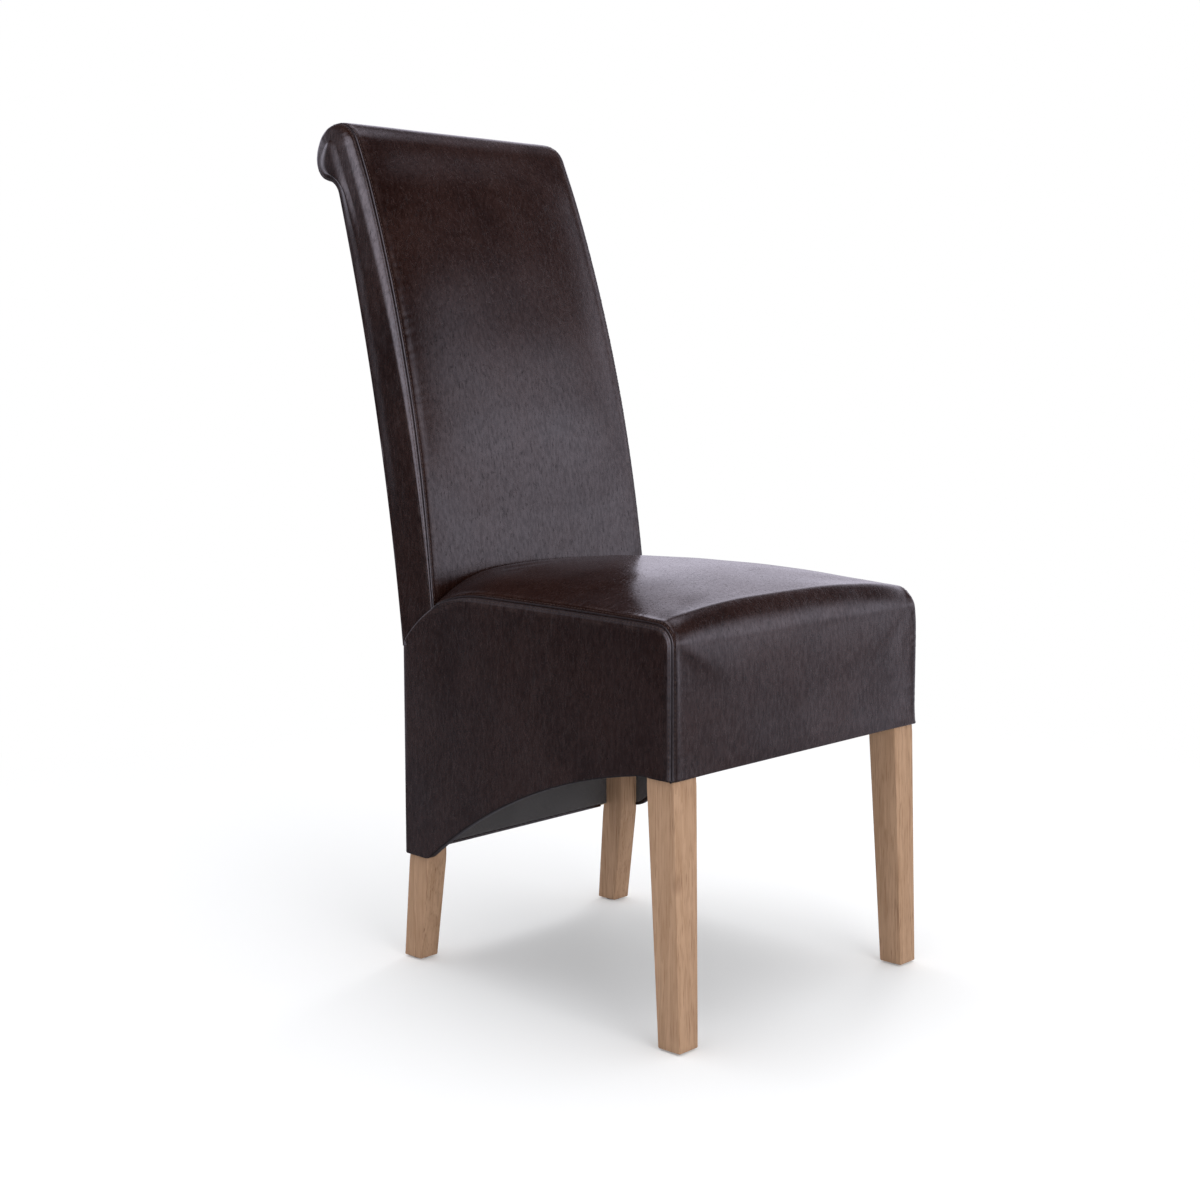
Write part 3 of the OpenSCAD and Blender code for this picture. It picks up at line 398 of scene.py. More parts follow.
def fromSide(a, r):
    # how far in from the side a point lies, for its length over an edge of radius r
    turn = r * math.pi / 2
    return np.where(a < turn, r * (1 - np.sin((turn - np.minimum(a, turn)) / r)), r + a - turn)


def overEdge(x, r):
    # the length over the edge, for the distance in from the side
    return r * math.pi / 2 - r * math.asin(1 - x / r) if x < r else r * math.pi / 2 + x - r


def seatSeam(y):
    r = float(sideEdge(y))
    return r * math.pi / 4 + 1.2 * (1 - min(1, r / 3))


def seatRise(y):
    # the crown is highest near the middle, lower in front and a little lower behind
    low, rear, reach, rearReach = (seatShape[key] for key in ("lowFront", "lowRear", "frontReach", "rearReach"))
    rise = 1 - low + low * eased(y / (reach * seatDepth)) - rear * eased((y / seatDepth - 0.5) / rearReach)
    return seatShape["crown"] * rise


def seatLine():
    # from the front hem up, over the front edge, back along the top and down behind: y, z, normal y, normal z, crown
    # share and front share
    e, t, tuck, behind, step = (seatShape[key] for key in ("frontEdge", "rearTurn", "tuck", "behind", "step"))
    low, top, quarter = frontHem + seatShape["hemLift"], seatHeight, math.pi / 2
    rows = []
    for z in np.linspace(low, top - e, int((top - e - low) / step) + 1)[:-1]:
        rows.append((0, z, -1, 0, 0, 1))
    for a in np.linspace(180, 90, int(e * quarter / step) + 1)[:-1]:
        r = math.radians(a)
        c, s = math.cos(r), math.sin(r)
        rows.append((e + e * c, top - e + e * s, c, s, s ** 2, math.cos(math.pi - r)))
    yTurn = float(frontY(top - t)) - behind - t
    for y in np.linspace(e, yTurn, int((yTurn - e) / step) + 1)[:-1]:
        rows.append((y, top, 0, 1, 1, 0))
    for a in np.linspace(90, 0, int(t * quarter / step) + 2)[:-1]:
        r = math.radians(a)
        c, s = math.cos(r), math.sin(r)
        rows.append((yTurn + t * c, top - t + t * s, c, s, 0.35 + 0.65 * s, 0))
    for z in np.linspace(top - t, top - tuck, 9):
        rows.append((float(frontY(z)) - behind, z, 1, 0, 0.35 * (z - top + tuck) / (tuck - t), 0))
    return np.array(rows)


def seatPoint(u, row):
    # a point of the leather over the seat: u from -1 to 1 across, row from seatLine
    y, z, ny, nz, share, front = row
    half = sideX(y)
    fall = edgeFall(sideEdge(y), (1 - np.abs(u)) * half)
    py, pz = y - ny * fall, z - nz * fall
    toHem = np.clip((pz - frontHem) / (seatHeight - frontHem), 0, 1)
    py = py - swell(u) * front * seatShape["bulge"] * np.sin(np.pi * toHem)
    # the foam of the front edge gives way at its middle, down and back at 45 degrees
    soften = seatShape["soften"] * swell(u, 6) * float(bell((y - 7) - (z - (seatHeight - 7)), 52)) * float(y < 120)
    py, pz = py + 0.71 * soften, pz - 0.71 * soften
    rise = swell(u) * seatRise(y) * share - (seatHeight - dropZ(y)) * np.abs(u) ** 5 * (z > seatHeight - 30)
    if ny > 0:  # behind, the seat follows the back's face
        py = py + frontY(pz + rise) - frontY(pz)
    return np.stack([u * sideX(py), py * np.ones_like(u), (pz + rise) * np.ones_like(u)], -1)


# mesh making

def ripple(across, along, sizes, seed, turn=0.5):
    # smooth random waves, about -1 to 1, of the given lengths in millimetres
    dice = np.random.default_rng(seed)
    total = np.zeros(np.broadcast(across, along).shape)
    for size in sizes:
        for _ in range(3):
            angle, phase, length = dice.normal(0, turn), dice.uniform(0, phaseEnd), size * dice.uniform(0.75, 1.3)
            total += np.sin(circle / length * (along * math.cos(angle) + across * math.sin(angle)) + phase)
    return total / (1.7 * math.sqrt(3 * len(sizes)))


def clouds(points, size, seed):
    # smooth random field through space
    dice = np.random.default_rng(seed)
    total = np.zeros(len(points))
    for _ in range(9):
        way = dice.normal(0, 1, 3)
        way *= circle / (size * dice.uniform(0.7, 1.5)) / np.linalg.norm(way)
        total += np.sin(points @ way + dice.uniform(0, phaseEnd))
    return total / 3.2


offSeam, plainSeam = 99.0, 1000.0  # distance of points on no seam, and what is added to a seam without stitches


class Skin:
    # patches of points, welded where they meet, with each point's distance from its seam and place along it
    def __init__(self):
        self.grids, self.away, self.along, self.puff, self.quads, self.count = [], [], [], [], [], 0

    def patch(self, grid, outward, away=offSeam, along=0.0, puff=0.0):
        grid = np.asarray(grid)
        rows, cols = grid.shape[:2]
        at = np.arange(rows * cols).reshape(rows, cols) + self.count
        quads = gridQuads(at)
        flat = grid.reshape(-1, 3)
        corner = quads - self.count
        facing = np.cross(flat[corner[:, 2]] - flat[corner[:, 0]], flat[corner[:, 3]] - flat[corner[:, 1]])
        aim = outward(flat[corner].mean(1)) if callable(outward) else np.array(outward, float)
        self.quads.append(quads[:, ::-1] if (facing * aim).sum() < 0 else quads)
        self.grids.append(flat)
        for store, value in ((self.away, away), (self.along, along), (self.puff, puff)):
            store.append(np.broadcast_to(value, (rows, cols)).ravel())
        self.count += rows * cols
        return at

    def weld(self):
        points = np.concatenate(self.grids)
        _, first, back = np.unique(np.round(points / 0.012 + 0.27).astype(int), axis=0, return_index=True,
                                   return_inverse=True)
        self.back = back.ravel()
        self.points = points[first]
        self.away, self.along, self.puff = (np.concatenate(v)[first] for v in (self.away, self.along, self.puff))
        self.faces = self.back[np.concatenate(self.quads)]
        way = np.cross(*(self.points[self.faces[:, k]] - self.points[self.faces[:, k - 2]] for k in (2, 3)))
        normal = np.zeros_like(self.points)
        for k in range(4):
            np.add.at(normal, self.faces[:, k], way)
        self.normal = normal / np.maximum(np.linalg.norm(normal, axis=1), 1e-9)[:, None]

    def shift(self, amount):
        self.points = self.points + self.normal * np.asarray(amount)[:, None]


def awayFrom(*inside):
    return lambda middle: middle - inside


def meshFrom(name, points, faces, material, smooth=None, shadeAndWear=None):
    mesh = bpy.data.meshes.new(name)
    clean = []
    for face in faces.tolist() if isinstance(faces, np.ndarray) else faces:
        ring = [v for k, v in enumerate(face) if v != face[k - 1]]
        if len(set(ring)) > 2:
            clean.append(ring)
    mesh.from_pydata(toWorld(points).tolist(), [], clean)
    mesh.materials.append(material)
    if shadeAndWear is not None:
        mesh.attributes.new("shadeAndWear", "FLOAT", "POINT").data.foreach_set("value", np.asarray(shadeAndWear, np.float32))
    mesh.shade_smooth()
    if smooth is not None:
        mesh.set_sharp_from_angle(angle=math.radians(smooth))
    mesh.update()
    return placed(name, mesh)


def wall(piece, thickness):
    solid = piece.modifiers.new("wall", "SOLIDIFY")
    solid.thickness, solid.offset, solid.use_quality_normals = thickness / 1000, -1, True
    return piece


def settle(piece, slotName, *nodes):
    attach(piece, "root")
    if nodes:
        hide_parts(*nodes)
    return piece


def leatherPiece(name, skin, shadeAndWear, nodes, sign=1):
    faces = skin.faces if sign > 0 else skin.faces[:, ::-1]
    piece = meshFrom(name, skin.points * [sign, 1, 1], faces, leather, shadeAndWear=shadeAndWear)
    return settle(wall(piece, chair["leather"]), "leather", *nodes)


stitchLines = []  # points and normals of each row of stitches


def sew(skin, at, sign=1):
    keep = skin.back[at]
    stitchLines.append([v * [sign, 1, 1] for v in (skin.points[keep], skin.normal[keep])])


# seams and hems

seam = {"depth": 1.2, "grooveWidth": 0.85, "rowAt": 3.6, "rowDip": 0.25, "rowWidth": 0.95, "pitch": 5.2,
        "ridge": 0.1, "ridgeAt": 8.0, "pucker": 0.24, "puckerReach": 17.0}
softSeam = dict(seam, depth=0.75, rowDip=0.18, ridge=0.05)
nearSeam = np.array([0, .5, 1, 1.5, 2.1, 2.8, 3.6, 4.4, 5.3, 6.5, 8, 9.7, 11.7, 14, 17, 20.5, 25, 30, 36])
rowColumn = int(np.argmin(np.abs(nearSeam - seam["rowAt"])))
cushionLook = {"rowStep": 2, "cell": 5.5, "sink": 1.6, "cap": 2.6, "pressure": 2.2, "stiff": 70.0, "bend": 4.0,
               "slack": -0.002, "even": 3, "frames": 20}


def seamProfile(away, along, seed, stitched=1.0, spec=seam):
    groove = -spec["depth"] * bell(away, spec["grooveWidth"])
    pull = 0.72 + 0.28 * np.cos(circle * along / spec["pitch"])
    dip = -spec["rowDip"] * bell(away - spec["rowAt"], spec["rowWidth"]) * pull
    ridge = spec["ridge"] * bell(away - spec["ridgeAt"], 4.0) - 0.12 * bell(away - 13, 5)
    pucker = ripple(away, along, (7, 11, 17), seed, 0.22) * bell(away - 7, spec["puckerReach"]) * spec["pucker"]
    pucker = pucker * np.clip(away / 2.5, 0, 1) * (0.6 + 0.6 * ripple(away * 0, along, (70,), seed + 9, 0.1))
    return groove + stitched * (dip + ridge) + (0.25 + 0.75 * stitched) * pucker


def swollen(grid, outward, look=cushionLook):
    # the padded leather put under pressure by cloth simulation between its seams: how far each point of the grid moves,
    # in millimetres; the sheet starts a little sunk, is held along its border, and no point moves further than the cap
    rows = np.unique(np.r_[np.arange(0, len(grid), look["rowStep"]), len(grid) - 1])
    width = pathLength(grid[len(grid) // 2])
    cols = [0]
    for k in range(1, len(width) - 1):
        if width[k] - width[cols[-1]] >= look["cell"] and width[-1] - width[k] >= look["cell"]:
            cols.append(k)
    cols.append(len(width) - 1)
    base = grid[rows][:, cols]
    count, wide = base.shape[:2]
    normal = unit(np.cross(np.gradient(base, axis=0), np.gradient(base, axis=1)))
    turn = 1 if (normal * outward(base.reshape(-1, 3)).reshape(base.shape)).sum() > 0 else -1
    normal *= turn
    fromEdge = np.minimum.outer(*(np.minimum(np.arange(n), np.arange(n)[::-1]) for n in (count, wide)))
    start = base - normal * look["sink"] * eased(fromEdge / 4)[..., None]
    at = np.arange(count * wide).reshape(count, wide)
    sheet = meshFrom("cushion", start.reshape(-1, 3), gridQuads(at)[:, ::-turn], leather)
    held = sheet.vertex_groups.new(name="held")
    held.add(at[fromEdge == 0].tolist(), 1.0, "REPLACE")
    cloth = sheet.modifiers.new("cloth", "CLOTH").settings
    cloth.quality, cloth.mass, cloth.vertex_group_mass = 6, 0.25, "held"
    cloth.tension_stiffness = cloth.compression_stiffness = look["stiff"]
    cloth.shear_stiffness, cloth.bending_stiffness, cloth.air_damping = look["stiff"] / 2, look["bend"], 3.0
    cloth.shrink_min = -look["slack"]
    cloth.use_pressure, cloth.uniform_pressure_force = True, look["pressure"]
    cloth.effector_weights.gravity = 0
    for step in range(1, look["frames"] + 1):
        bpy.context.scene.frame_set(step)
    result = sheet.evaluated_get(bpy.context.evaluated_depsgraph_get()).to_mesh()
    end = np.array([v.co for v in result.vertices])
    bpy.context.scene.frame_set(1)
    mesh = sheet.data
    bpy.data.objects.remove(sheet)
    bpy.data.meshes.remove(mesh)
    moved = ((end - toWorld(base.reshape(-1, 3))) * 1000).reshape(base.shape)
    amount = np.clip((moved * normal).sum(2), -look["cap"], look["cap"])
    for _ in range(look["even"]):
        amount[1:-1] = (amount[:-2] + 2 * amount[1:-1] + amount[2:]) / 4
        amount[:, 1:-1] = (amount[:, :-2] + 2 * amount[:, 1:-1] + amount[:, 2:]) / 4
    amount = np.stack([np.interp(width, width[cols], line) for line in amount])
    print("cushion simulated", count * wide, "from", round(float(amount.min()), 2), "to", round(float(amount.max()), 2),
          "mm")
    return np.stack([np.interp(np.arange(len(grid)), rows, line) for line in amount.T], 1)


shadeAndWearLook = {"seam": 1.15, "row": 0.6, "rowWidth": 0.85, "rubbedAndHighlight": 0.8, "rubbedHighlightAt": 8.6, "rubbedHighlightWidth": 2.6,
            "corner": 0.6, "cornerAt": 1.5, "cornerWidth": 7.0, "cornerTop": 472, "cornerDepth": 60}
cornerLook = {"stand": 2.0, "standHeight": 9.0, "standReach": 42.0, "drawn": 5.5, "drawnReach": 27.0}


def seamShadeAndWear(skin, stitched=1.0):
    # below 0 the leather is painted dark in the seam and along the stitches, a painted shade; above 0 it is painted
    # pale beside them, rubbed wear and a painted highlight on the ridge
    look, plain = shadeAndWearLook, skin.away > 900
    away = np.where(plain, skin.away - plainSeam, skin.away)
    stitched = stitched * (skin.away < 900)
    patchy = np.clip(0.45 + 0.75 * ripple(away * 0, skin.along, (26, 60), 77, 0.1), 0, 1)
    rubbedAndHighlight = bell(away - look["rubbedHighlightAt"], look["rubbedHighlightWidth"]) * patchy
    # along the upright seams at the front corners a wider band is painted dark and made dull, a painted shade, with no
    # pale band
    corner = eased((look["cornerTop"] - skin.points[:, 2]) / 30) * (skin.points[:, 1] < look["cornerDepth"]) * stitched
    shadeAndWear = -bell(away, look["seam"]) - stitched * look["row"] * bell(away - seam["rowAt"], look["rowWidth"])
    shadeAndWear = shadeAndWear + stitched * look["rubbedAndHighlight"] * rubbedAndHighlight * (1 - corner)
    return shadeAndWear - look["corner"] * corner * bell(away - look["cornerAt"], look["cornerWidth"])


def flare(points):
    # the leather stands off a little at the two lower front corners, and is drawn in round at the two upper ones
    look, x, y, z = cornerLook, *(points[:, k:k + 1] for k in range(3))
    side, half = np.sign(x), chair["frontWidth"] / 2
    out = unit(np.concatenate([x - 195 * side, y - 45, 0 * x], 1))
    size = look["stand"] * np.exp((frontHem - z) / look["standHeight"])
    size = size * bell(np.hypot(np.abs(x) - half, y), look["standReach"])
    away = np.linalg.norm(points - np.concatenate([side * half, 0 * side, 0 * side + seatHeight], 1), axis=1)
    inward = np.concatenate([-side, np.abs(side), -np.abs(side)], 1)
    return out * size + look["drawn"] * bell(away, look["drawnReach"])[:, None] * inward / 3 ** 0.5


def acrossColumns(reach, inner=56):
    # distances from one seam to the other, closer together near both
    middle = np.linspace(nearSeam[-1], 2 * reach - nearSeam[-1], inner + 2)[1:-1]
    return np.r_[nearSeam, middle, 2 * reach - nearSeam[::-1]]


def stripColumns(length):
    first, tail = seam["rowAt"], nearSeam[rowColumn + 1:rowColumn + 10]
    if length < tail[-1]:
        tail = first + (length - first) * (np.arange(1, 10) / 9) ** 1.15
    else:
        tail = np.r_[tail[:-1], length]
    return np.r_[nearSeam[:rowColumn + 1], tail]


hemLook = {"radius": 2.2, "lift": 4.0, "top": 2.1, "narrow": 3.2, "wide": 10.4}
legZone, dustZone = (190.5, 46.5, 165, 202, 441), (192.3, 44.5, 166.5, 999, 443.5)


def atLegs(x, y, zone=legZone):
    x, (inner, front, postInner, postOuter, rear) = np.abs(x), zone
    return ((x > inner) & (y < front)) | ((x > postInner) & (x < postOuter) & (y > rear))


def hemReach(x, y):
    return np.where(atLegs(x, y), hemLook["narrow"], hemLook["wide"])


def hemRoll(reach, lift=hemLook["lift"]):
    # inward depth and height of a turned hem, from the outer face to the edge that is stapled inside, the height
    # counted from the row where the turn begins
    radius = hemLook["radius"]
    a = np.radians(np.linspace(180, 270, 5))[1:]
    inner = np.maximum(reach, radius + 1.0)
    rows = [(radius * (1 + math.cos(t)) + 0 * inner, radius * (1 + math.sin(t)) + 0 * inner) for t in a]
    rows += [(radius + (inner - radius) * 0.55, 0 * inner), (inner - 0.5, 0.15 + 0 * inner), (inner, 0.9 + 0 * inner),
             (inner, lift + 0 * inner)]
    return [(b[:, None], (z - radius)[:, None]) for b, z in rows]


def hemGrid(ring, inward, reach, lift=hemLook["lift"]):
    return np.array([ring] + [ring + inward * b + upright * z for b, z in hemRoll(reach, lift)])


# seat: the panel over its top and front

seatLook = {"waves": 0.25, "seed": 11}
line = seatLine()


def seatRow(row):
    r, half, start = max(0.05, float(sideEdge(row[0]))), float(sideX(row[0])), seatSeam(row[0])
    reach = half - r + r * math.pi / 2 - start
    d = acrossColumns(reach)
    near = np.minimum(d, 2 * reach - d)
    return seatPoint((1 - fromSide(start + near, r) / half) * np.sign(reach - d), row), near


panel, columns = (np.array(v) for v in zip(*(seatRow(row) for row in line)))
skin, outward = Skin(), awayFrom(0, 250, 350)
skin.patch(hemGrid(panel[0], [0, 1, 0], hemReach(panel[0, :, 0], 0))[::-1], [0, -1, -1], columns[0])
grid = skin.patch(panel, outward, columns, pathLength(panel[:, 0])[:, None])
skin.weld()
height = skin.points[:, 2] - frontHem
calm = np.clip((height - 2) / 25, 0, 1)
puff = seamProfile(skin.away, skin.along, seatLook["seed"], spec=softSeam) * np.clip(calm * 4, 0, 1)
puff = puff + seatLook["waves"] * clouds(skin.points, 90, 5) * calm * np.clip(skin.away / 12, 0, 1)
lift = np.zeros(len(puff))
lift[skin.back[grid]] = swollen(panel, outward)
skin.shift(np.where(skin.points[:, 2] < frontHem + hemLook["top"], 0, puff + lift * np.clip(calm, 0, 1)))
skin.points = skin.points + flare(skin.points)
for column in (rowColumn, len(columns[0]) - 1 - rowColumn):
    sew(skin, grid[:-16, column])
seatPanel = leatherPiece("seatPanel", skin, seamShadeAndWear(skin), ("seat_cover", "seat_foam", "front_wadding"))
print("seat panel made", len(skin.points))


# sides: straight panels with an arched hem, rounded over into the seat's seam

sideLook = {"hemFlat": 50.0, "rearFlat": 46.0, "arcRadius": 854.0, "beyond": 7.0, "rearRound": 3.0, "waves": 0.3,
            "backAt": 417, "ledge": 201.3, "seamEnd": 440, "turnOver": 12, "ledgeOver": 15}
sideNormal = np.array([math.cos(math.atan(tanSide)), math.sin(math.atan(tanSide)), 0])
backAt = sideLook["backAt"]


def onSide(yz):
    yz = np.asarray(yz, float)
    return np.concatenate([sideX(yz[..., :1]), yz], -1)


def sideHem():
    a = np.array([sideLook["hemFlat"], frontHem])
    b = np.array([seatDepth - sideLook["rearFlat"], rearHem])
    span = np.linalg.norm(b - a)
    way, down = (b - a) / span, math.sqrt(sideLook["arcRadius"] ** 2 - span ** 2 / 4)
    centre = (a + b) / 2 + down * np.array([way[1], -way[0]])
    start, end = (math.degrees(math.atan2(*(p - centre)[::-1])) for p in (a, b))
    return np.concatenate([[[seatShape["sideEdge"] + sideLook["beyond"], a[1]]],
                           arc(centre, sideLook["arcRadius"], start, end, 90),
                           [[seatDepth - sideLook["rearRound"], b[1]]]])


def crossSection(y):
    # for each column its distance from the seam, from the side plane, and how far it lies down the side
    turned = float(eased((y - backAt) / sideLook["turnOver"]))
    r = max(0.05, float(sideEdge(y))) + sideLook["rearRound"] * turned
    ledge, start = r * (math.pi / 2 - 1) + float(sideX(y)) - sideLook["ledge"], seatSeam(min(y, backAt))
    start = start + (ledge - start) * float(eased((y - backAt) / sideLook["ledgeOver"]))
    d = stripColumns(start + sideLook["beyond"])
    return d, fromSide(np.maximum(start - d, 0), r), np.maximum(0, d - start), r


def sideStrip():
    # the rounded rows between the seam and the flat of the side, beside the seat and then behind it
    rows, below, dist = [], [], []
    keep = [row for row in line if row[2] <= 0 and row[0] <= backAt]
    keep += [np.array([y, seatHeight, 0, 1, 1, 0]) for y in np.linspace(backAt, seatDepth, 32)[1:]]
    for row in keep:
        y = row[0]
        d, x, past, r = crossSection(y)
        half = float(sideX(y))
        u = 1 - x / half
        if y <= backAt:
            points = seatPoint(u, row)
        else:
            fade = 1 - float(eased((y - backAt) / sideLook["turnOver"]))
            rise = seatRise(y) * swell(u) + (seatHeight - dropZ(y)) * (1 - u ** 5)
            points = np.stack([half - x, y + 0 * x, dropZ(y) - edgeFall(r, x) + fade * rise], 1)
        rows.append(points)
        below.append(past)
        dist.append(d)
    rows, below = np.array(rows), np.array(below)[..., None]
    edge = rows[:, -1, 1:]
    tangent = unit(np.gradient(edge, axis=0))
    inward = np.stack([tangent[:, 1], -tangent[:, 0]], 1)
    for _ in range(3):
        inward[1:-1] = (inward[:-2] + inward[1:-1] + inward[2:]) / 3
    moved = edge[:, None] + unit(inward)[:, None] * below
    return np.where(below > 0, onSide(moved), rows), np.array(dist), np.array([row[0] for row in keep])


def coons(bottom, top, left, right):
    # a patch filled in between its four edges
    v = np.linspace(0, 1, len(left))[:, None, None]
    u = pathLength(top)
    u = (u / u[-1])[None, :, None]
    lines = (1 - v) * bottom[None] + v * top[None] + (1 - u) * left[:, None] + u * right[:, None]
    return lines - ((1 - u) * (1 - v) * bottom[0] + u * (1 - v) * bottom[-1] + (1 - u) * v * top[0] + u * v * top[-1])


def makeSide(sign, name, nodes):
    strip, dist, ys = sideStrip()
    rearY0, narrow = seatDepth - sideLook["rearRound"], hemLook["narrow"]
    last = np.searchsorted(ys, rearY0)
    strip, dist = strip[:last + 1], dist[:last + 1]
    strip[-1, dist[-1] > 0, 1] = rearY0
    edge, bend = strip[:, -1, 1:], seatShape["frontEdge"]
    # the row at the middle of the rounded front corner, where the flat of the side has its corner
    fromMiddle = np.abs((edge[:, 1] - (seatHeight - bend)) - (bend - edge[:, 0]))
    corner = int(np.argmin(fromMiddle + 99 * (edge[:, 0] > bend + 6)))
    fine = resample(sideHem(), step=1.0)
    for k in (0, 1):
        fine[8:-8, k] = np.convolve(fine[:, k], np.ones(17) / 17, "valid")
    hemPath = resample(fine, count=len(edge) - corner)
    slope = unit(np.gradient(hemPath, axis=0))
    up = np.stack([-slope[:, 1], slope[:, 0]], 1)
    up[[0, -1]] = [0, 1]
    bottom = hemPath + up * hemLook["radius"]
    bottom[0] = edge[0]
    right = np.linspace(bottom[-1], edge[-1], corner + 1)
    skin = Skin()
    grid = skin.patch(strip, awayFrom(150, 250, 350), dist, pathLength(strip[:, 0])[:, None])
    skin.patch(onSide(coons(bottom, edge[corner:], edge[:corner + 1], right)), [1, 0, 0])
    # hem of the side, hem of the rounded front corner, then the rear corner with its hem
    rolls = hemRoll(hemReach(onSide(bottom)[:, 0], bottom[:, 0]))
    skin.patch([onSide(bottom)] + [onSide(bottom + up * z) - sideNormal * b for b, z in rolls], [0.3, 0, -1], puff=-1)
    tangent = unit(np.gradient(strip[0, :, :2], axis=0))
    inward = np.stack([tangent[:, 1], -tangent[:, 0], 0 * tangent[:, 0]], 1)
    inside = np.array([200, 40, 313])  # a point inside the front corner, just above the hem
    inward *= np.sign((inward * (inside - strip[0])).sum(1))[:, None]
    inward[0], inward[-1] = [0, 1, 0], -sideNormal
    skin.patch(hemGrid(strip[0], inward, np.full(len(inward), narrow)), [0.3, -0.3, -1], puff=-1)
    r, turns = sideLook["rearRound"], np.radians(np.linspace(0, 90, 6))
    edgeX = float(sideX(rearY0))
    rear = np.array([[(edgeX - r + r * math.cos(t), rearY0 + r * math.sin(t), z) for t in turns] for z in right[:, 1]])
    rear[:, 0] = onSide(right)
    skin.patch(rear, [0.5, 1, 0], np.linspace(4.7, 0, 6)[None])
    inward = np.stack([-np.cos(turns), -np.sin(turns), 0 * turns], 1)
    inward[0] = -sideNormal
    skin.patch(hemGrid(rear[0], inward, np.full(6, narrow)), [0.3, 0.3, -1])
    skin.weld()
    seamed = skin.points[:, 1] < sideLook["seamEnd"]
    aboveHem = skin.points[:, 2] > frontHem + hemLook["top"]
    calm = np.clip((skin.away > 98) * 1.0 + skin.away / 20, 0, 1)
    puff = seamProfile(skin.away, skin.along, 23 + int(sign), spec=softSeam) * aboveHem
    puff = puff * np.clip((15.4 - skin.away) / 5, 0, 1) * seamed
    waves = (skin.normal @ sideNormal > 0.9) * sideLook["waves"] * clouds(skin.points * [sign, 1, 1], 130, 8)
    skin.shift(puff + waves * calm)
    skin.points = skin.points + flare(skin.points)
    sew(skin, grid[:-34, rowColumn], sign)
    # the turned hem rows are painted dark and made dull: painted shade under the hem
    leatherPiece(name, skin, seamShadeAndWear(skin) * seamed - 0.9 * (skin.puff < 0), nodes, sign)


makeSide(-1, "sidePanelRight", ("side_cover_right", "side_wadding_right"))
makeSide(1, "sidePanelLeft", ("side_cover_left", "side_wadding_left"))
print("side panels made")


# back: the front panel runs up the face and over the scroll, a gusset fills each side, a panel covers the rear

backLook = {"rows": 228, "headRows": 50, "hollowRows": 12, "low": 409.6, "tuck": 441.0, "crown": 12.0,
            "inset": (1.8, 13.5), "edge": (3.0, 17.0), "rearEdge": 2.0, "beyond": 6.0, "domeMiddle": 2.0,
            "domeScroll": 5.5, "waves": 0.32, "seed": 31, "roll": 2.6, "rollWidth": 12.0, "tangent": 1049.2,
            "domeRises": ((500, 160), (900, 110)), "lap": 6.0}
rearSplit = hollowC[1] + hollowR * math.sin(math.radians(hollowEnd))


def backRows():
    # points y, z up the front and over to the top, then up the rear, and how many of these lie below the scroll
    look, top = backLook, 90.0
    zs = np.linspace(look["low"], rearSplit, look["rows"])
    more = np.linspace(rearSplit, scrollC[1] + scrollR * math.sin(math.radians(scrollStart)), 60)
    head = np.concatenate([np.stack([frontY(more), more], 1), arc(scrollC, scrollR, scrollStart, top, 60)[1:]])
    front = np.concatenate([np.stack([frontY(zs), zs], 1), resample(head, look["headRows"])[1:]])
    hollow = arc(hollowC, hollowR, hollowEnd, scrollEnd + 180, look["hollowRows"])[1:]
    over = arc(scrollC, scrollR, scrollEnd, top, look["headRows"] - look["hollowRows"] + 1)[1:]
    return front, np.concatenate([np.stack([rearY(zs), zs], 1), hollow, over]), len(zs) + len(hollow)


def backSwell(z):
    rise = eased((z - seatHeight - seatShape["crown"] + 20) / 210)
    return backLook["crown"] * rise * eased((chair["topHeight"] - z) / 90)


def backGrid(path, way, edge, inset, rise, inner=None):
    # each column a distance from the seam: the rounding from the seam to the side, or with inner columns the whole
    # panel from one seam to the other
    grid, dist = [], []
    for p, out, r, gap, lift in zip(path, way, edge, inset, rise):
        start = overEdge(gap, r)
        if inner is None:
            d = stripColumns(start + backLook["beyond"])
            x, past = fromSide(np.maximum(start - d, 0), r), np.maximum(0, d - start)
            across, u = halfBack - x, 1 - x / halfBack
        else:
            reach = halfBack - r + r * math.pi / 2 - start
            d = acrossColumns(reach, inner)
            side, d = np.sign(reach - d), np.minimum(d, 2 * reach - d)
            x, past = fromSide(start + d, r), 0
            u = (1 - x / halfBack) * side
            across = u * halfBack
        amount = lift * swell(u) - edgeFall(r, x) - past
        grid.append(np.stack([across, p[0] + out[0] * amount, p[1] + out[1] * amount], 1))
        dist.append(d)
    return np.array(grid), np.array(dist)


frontPath, rearPath, rearCount = backRows()
rearIndex = np.arange(len(rearPath))
overTop = rearIndex >= rearCount
scrolled = (frontPath[:, 1] > backLook["tangent"])[:, None]
frontWay = unit(np.where(scrolled, frontPath - scrollC, frontPath - frontC))
rearWay = np.where((rearIndex < backLook["rows"])[:, None], rearC - rearPath, hollowC - rearPath)
rearWay = unit(np.where(overTop[:, None], rearPath - scrollC, rearWay))
rising = np.clip((frontPath[:, 1] - seatHeight) / (scrollZ - seatHeight), 0, 1)
late = 1 - eased((np.degrees(np.arctan2(*(rearPath - scrollC).T[::-1])) - 30) / -105)  # 1 over the top, 0 under it
frontEdges = [low + (high - low) * rising for low, high in (backLook["edge"], backLook["inset"])]
rearEdges = [backLook["rearEdge"] + (backLook[key][1] - backLook["rearEdge"]) * late * overTop
             for key in ("edge", "inset")]
fadeRear = np.clip((rearIndex - rearCount) / (len(rearPath) - rearCount), 0, 1)
frontLines = (frontPath, frontWay, *frontEdges, backSwell(frontPath[:, 1]))
rearLines = (rearPath, rearWay, *rearEdges, np.where(overTop, backSwell(rearPath[:, 1]) * fadeRear, 0))
frontStrip, frontDist = backGrid(*frontLines)
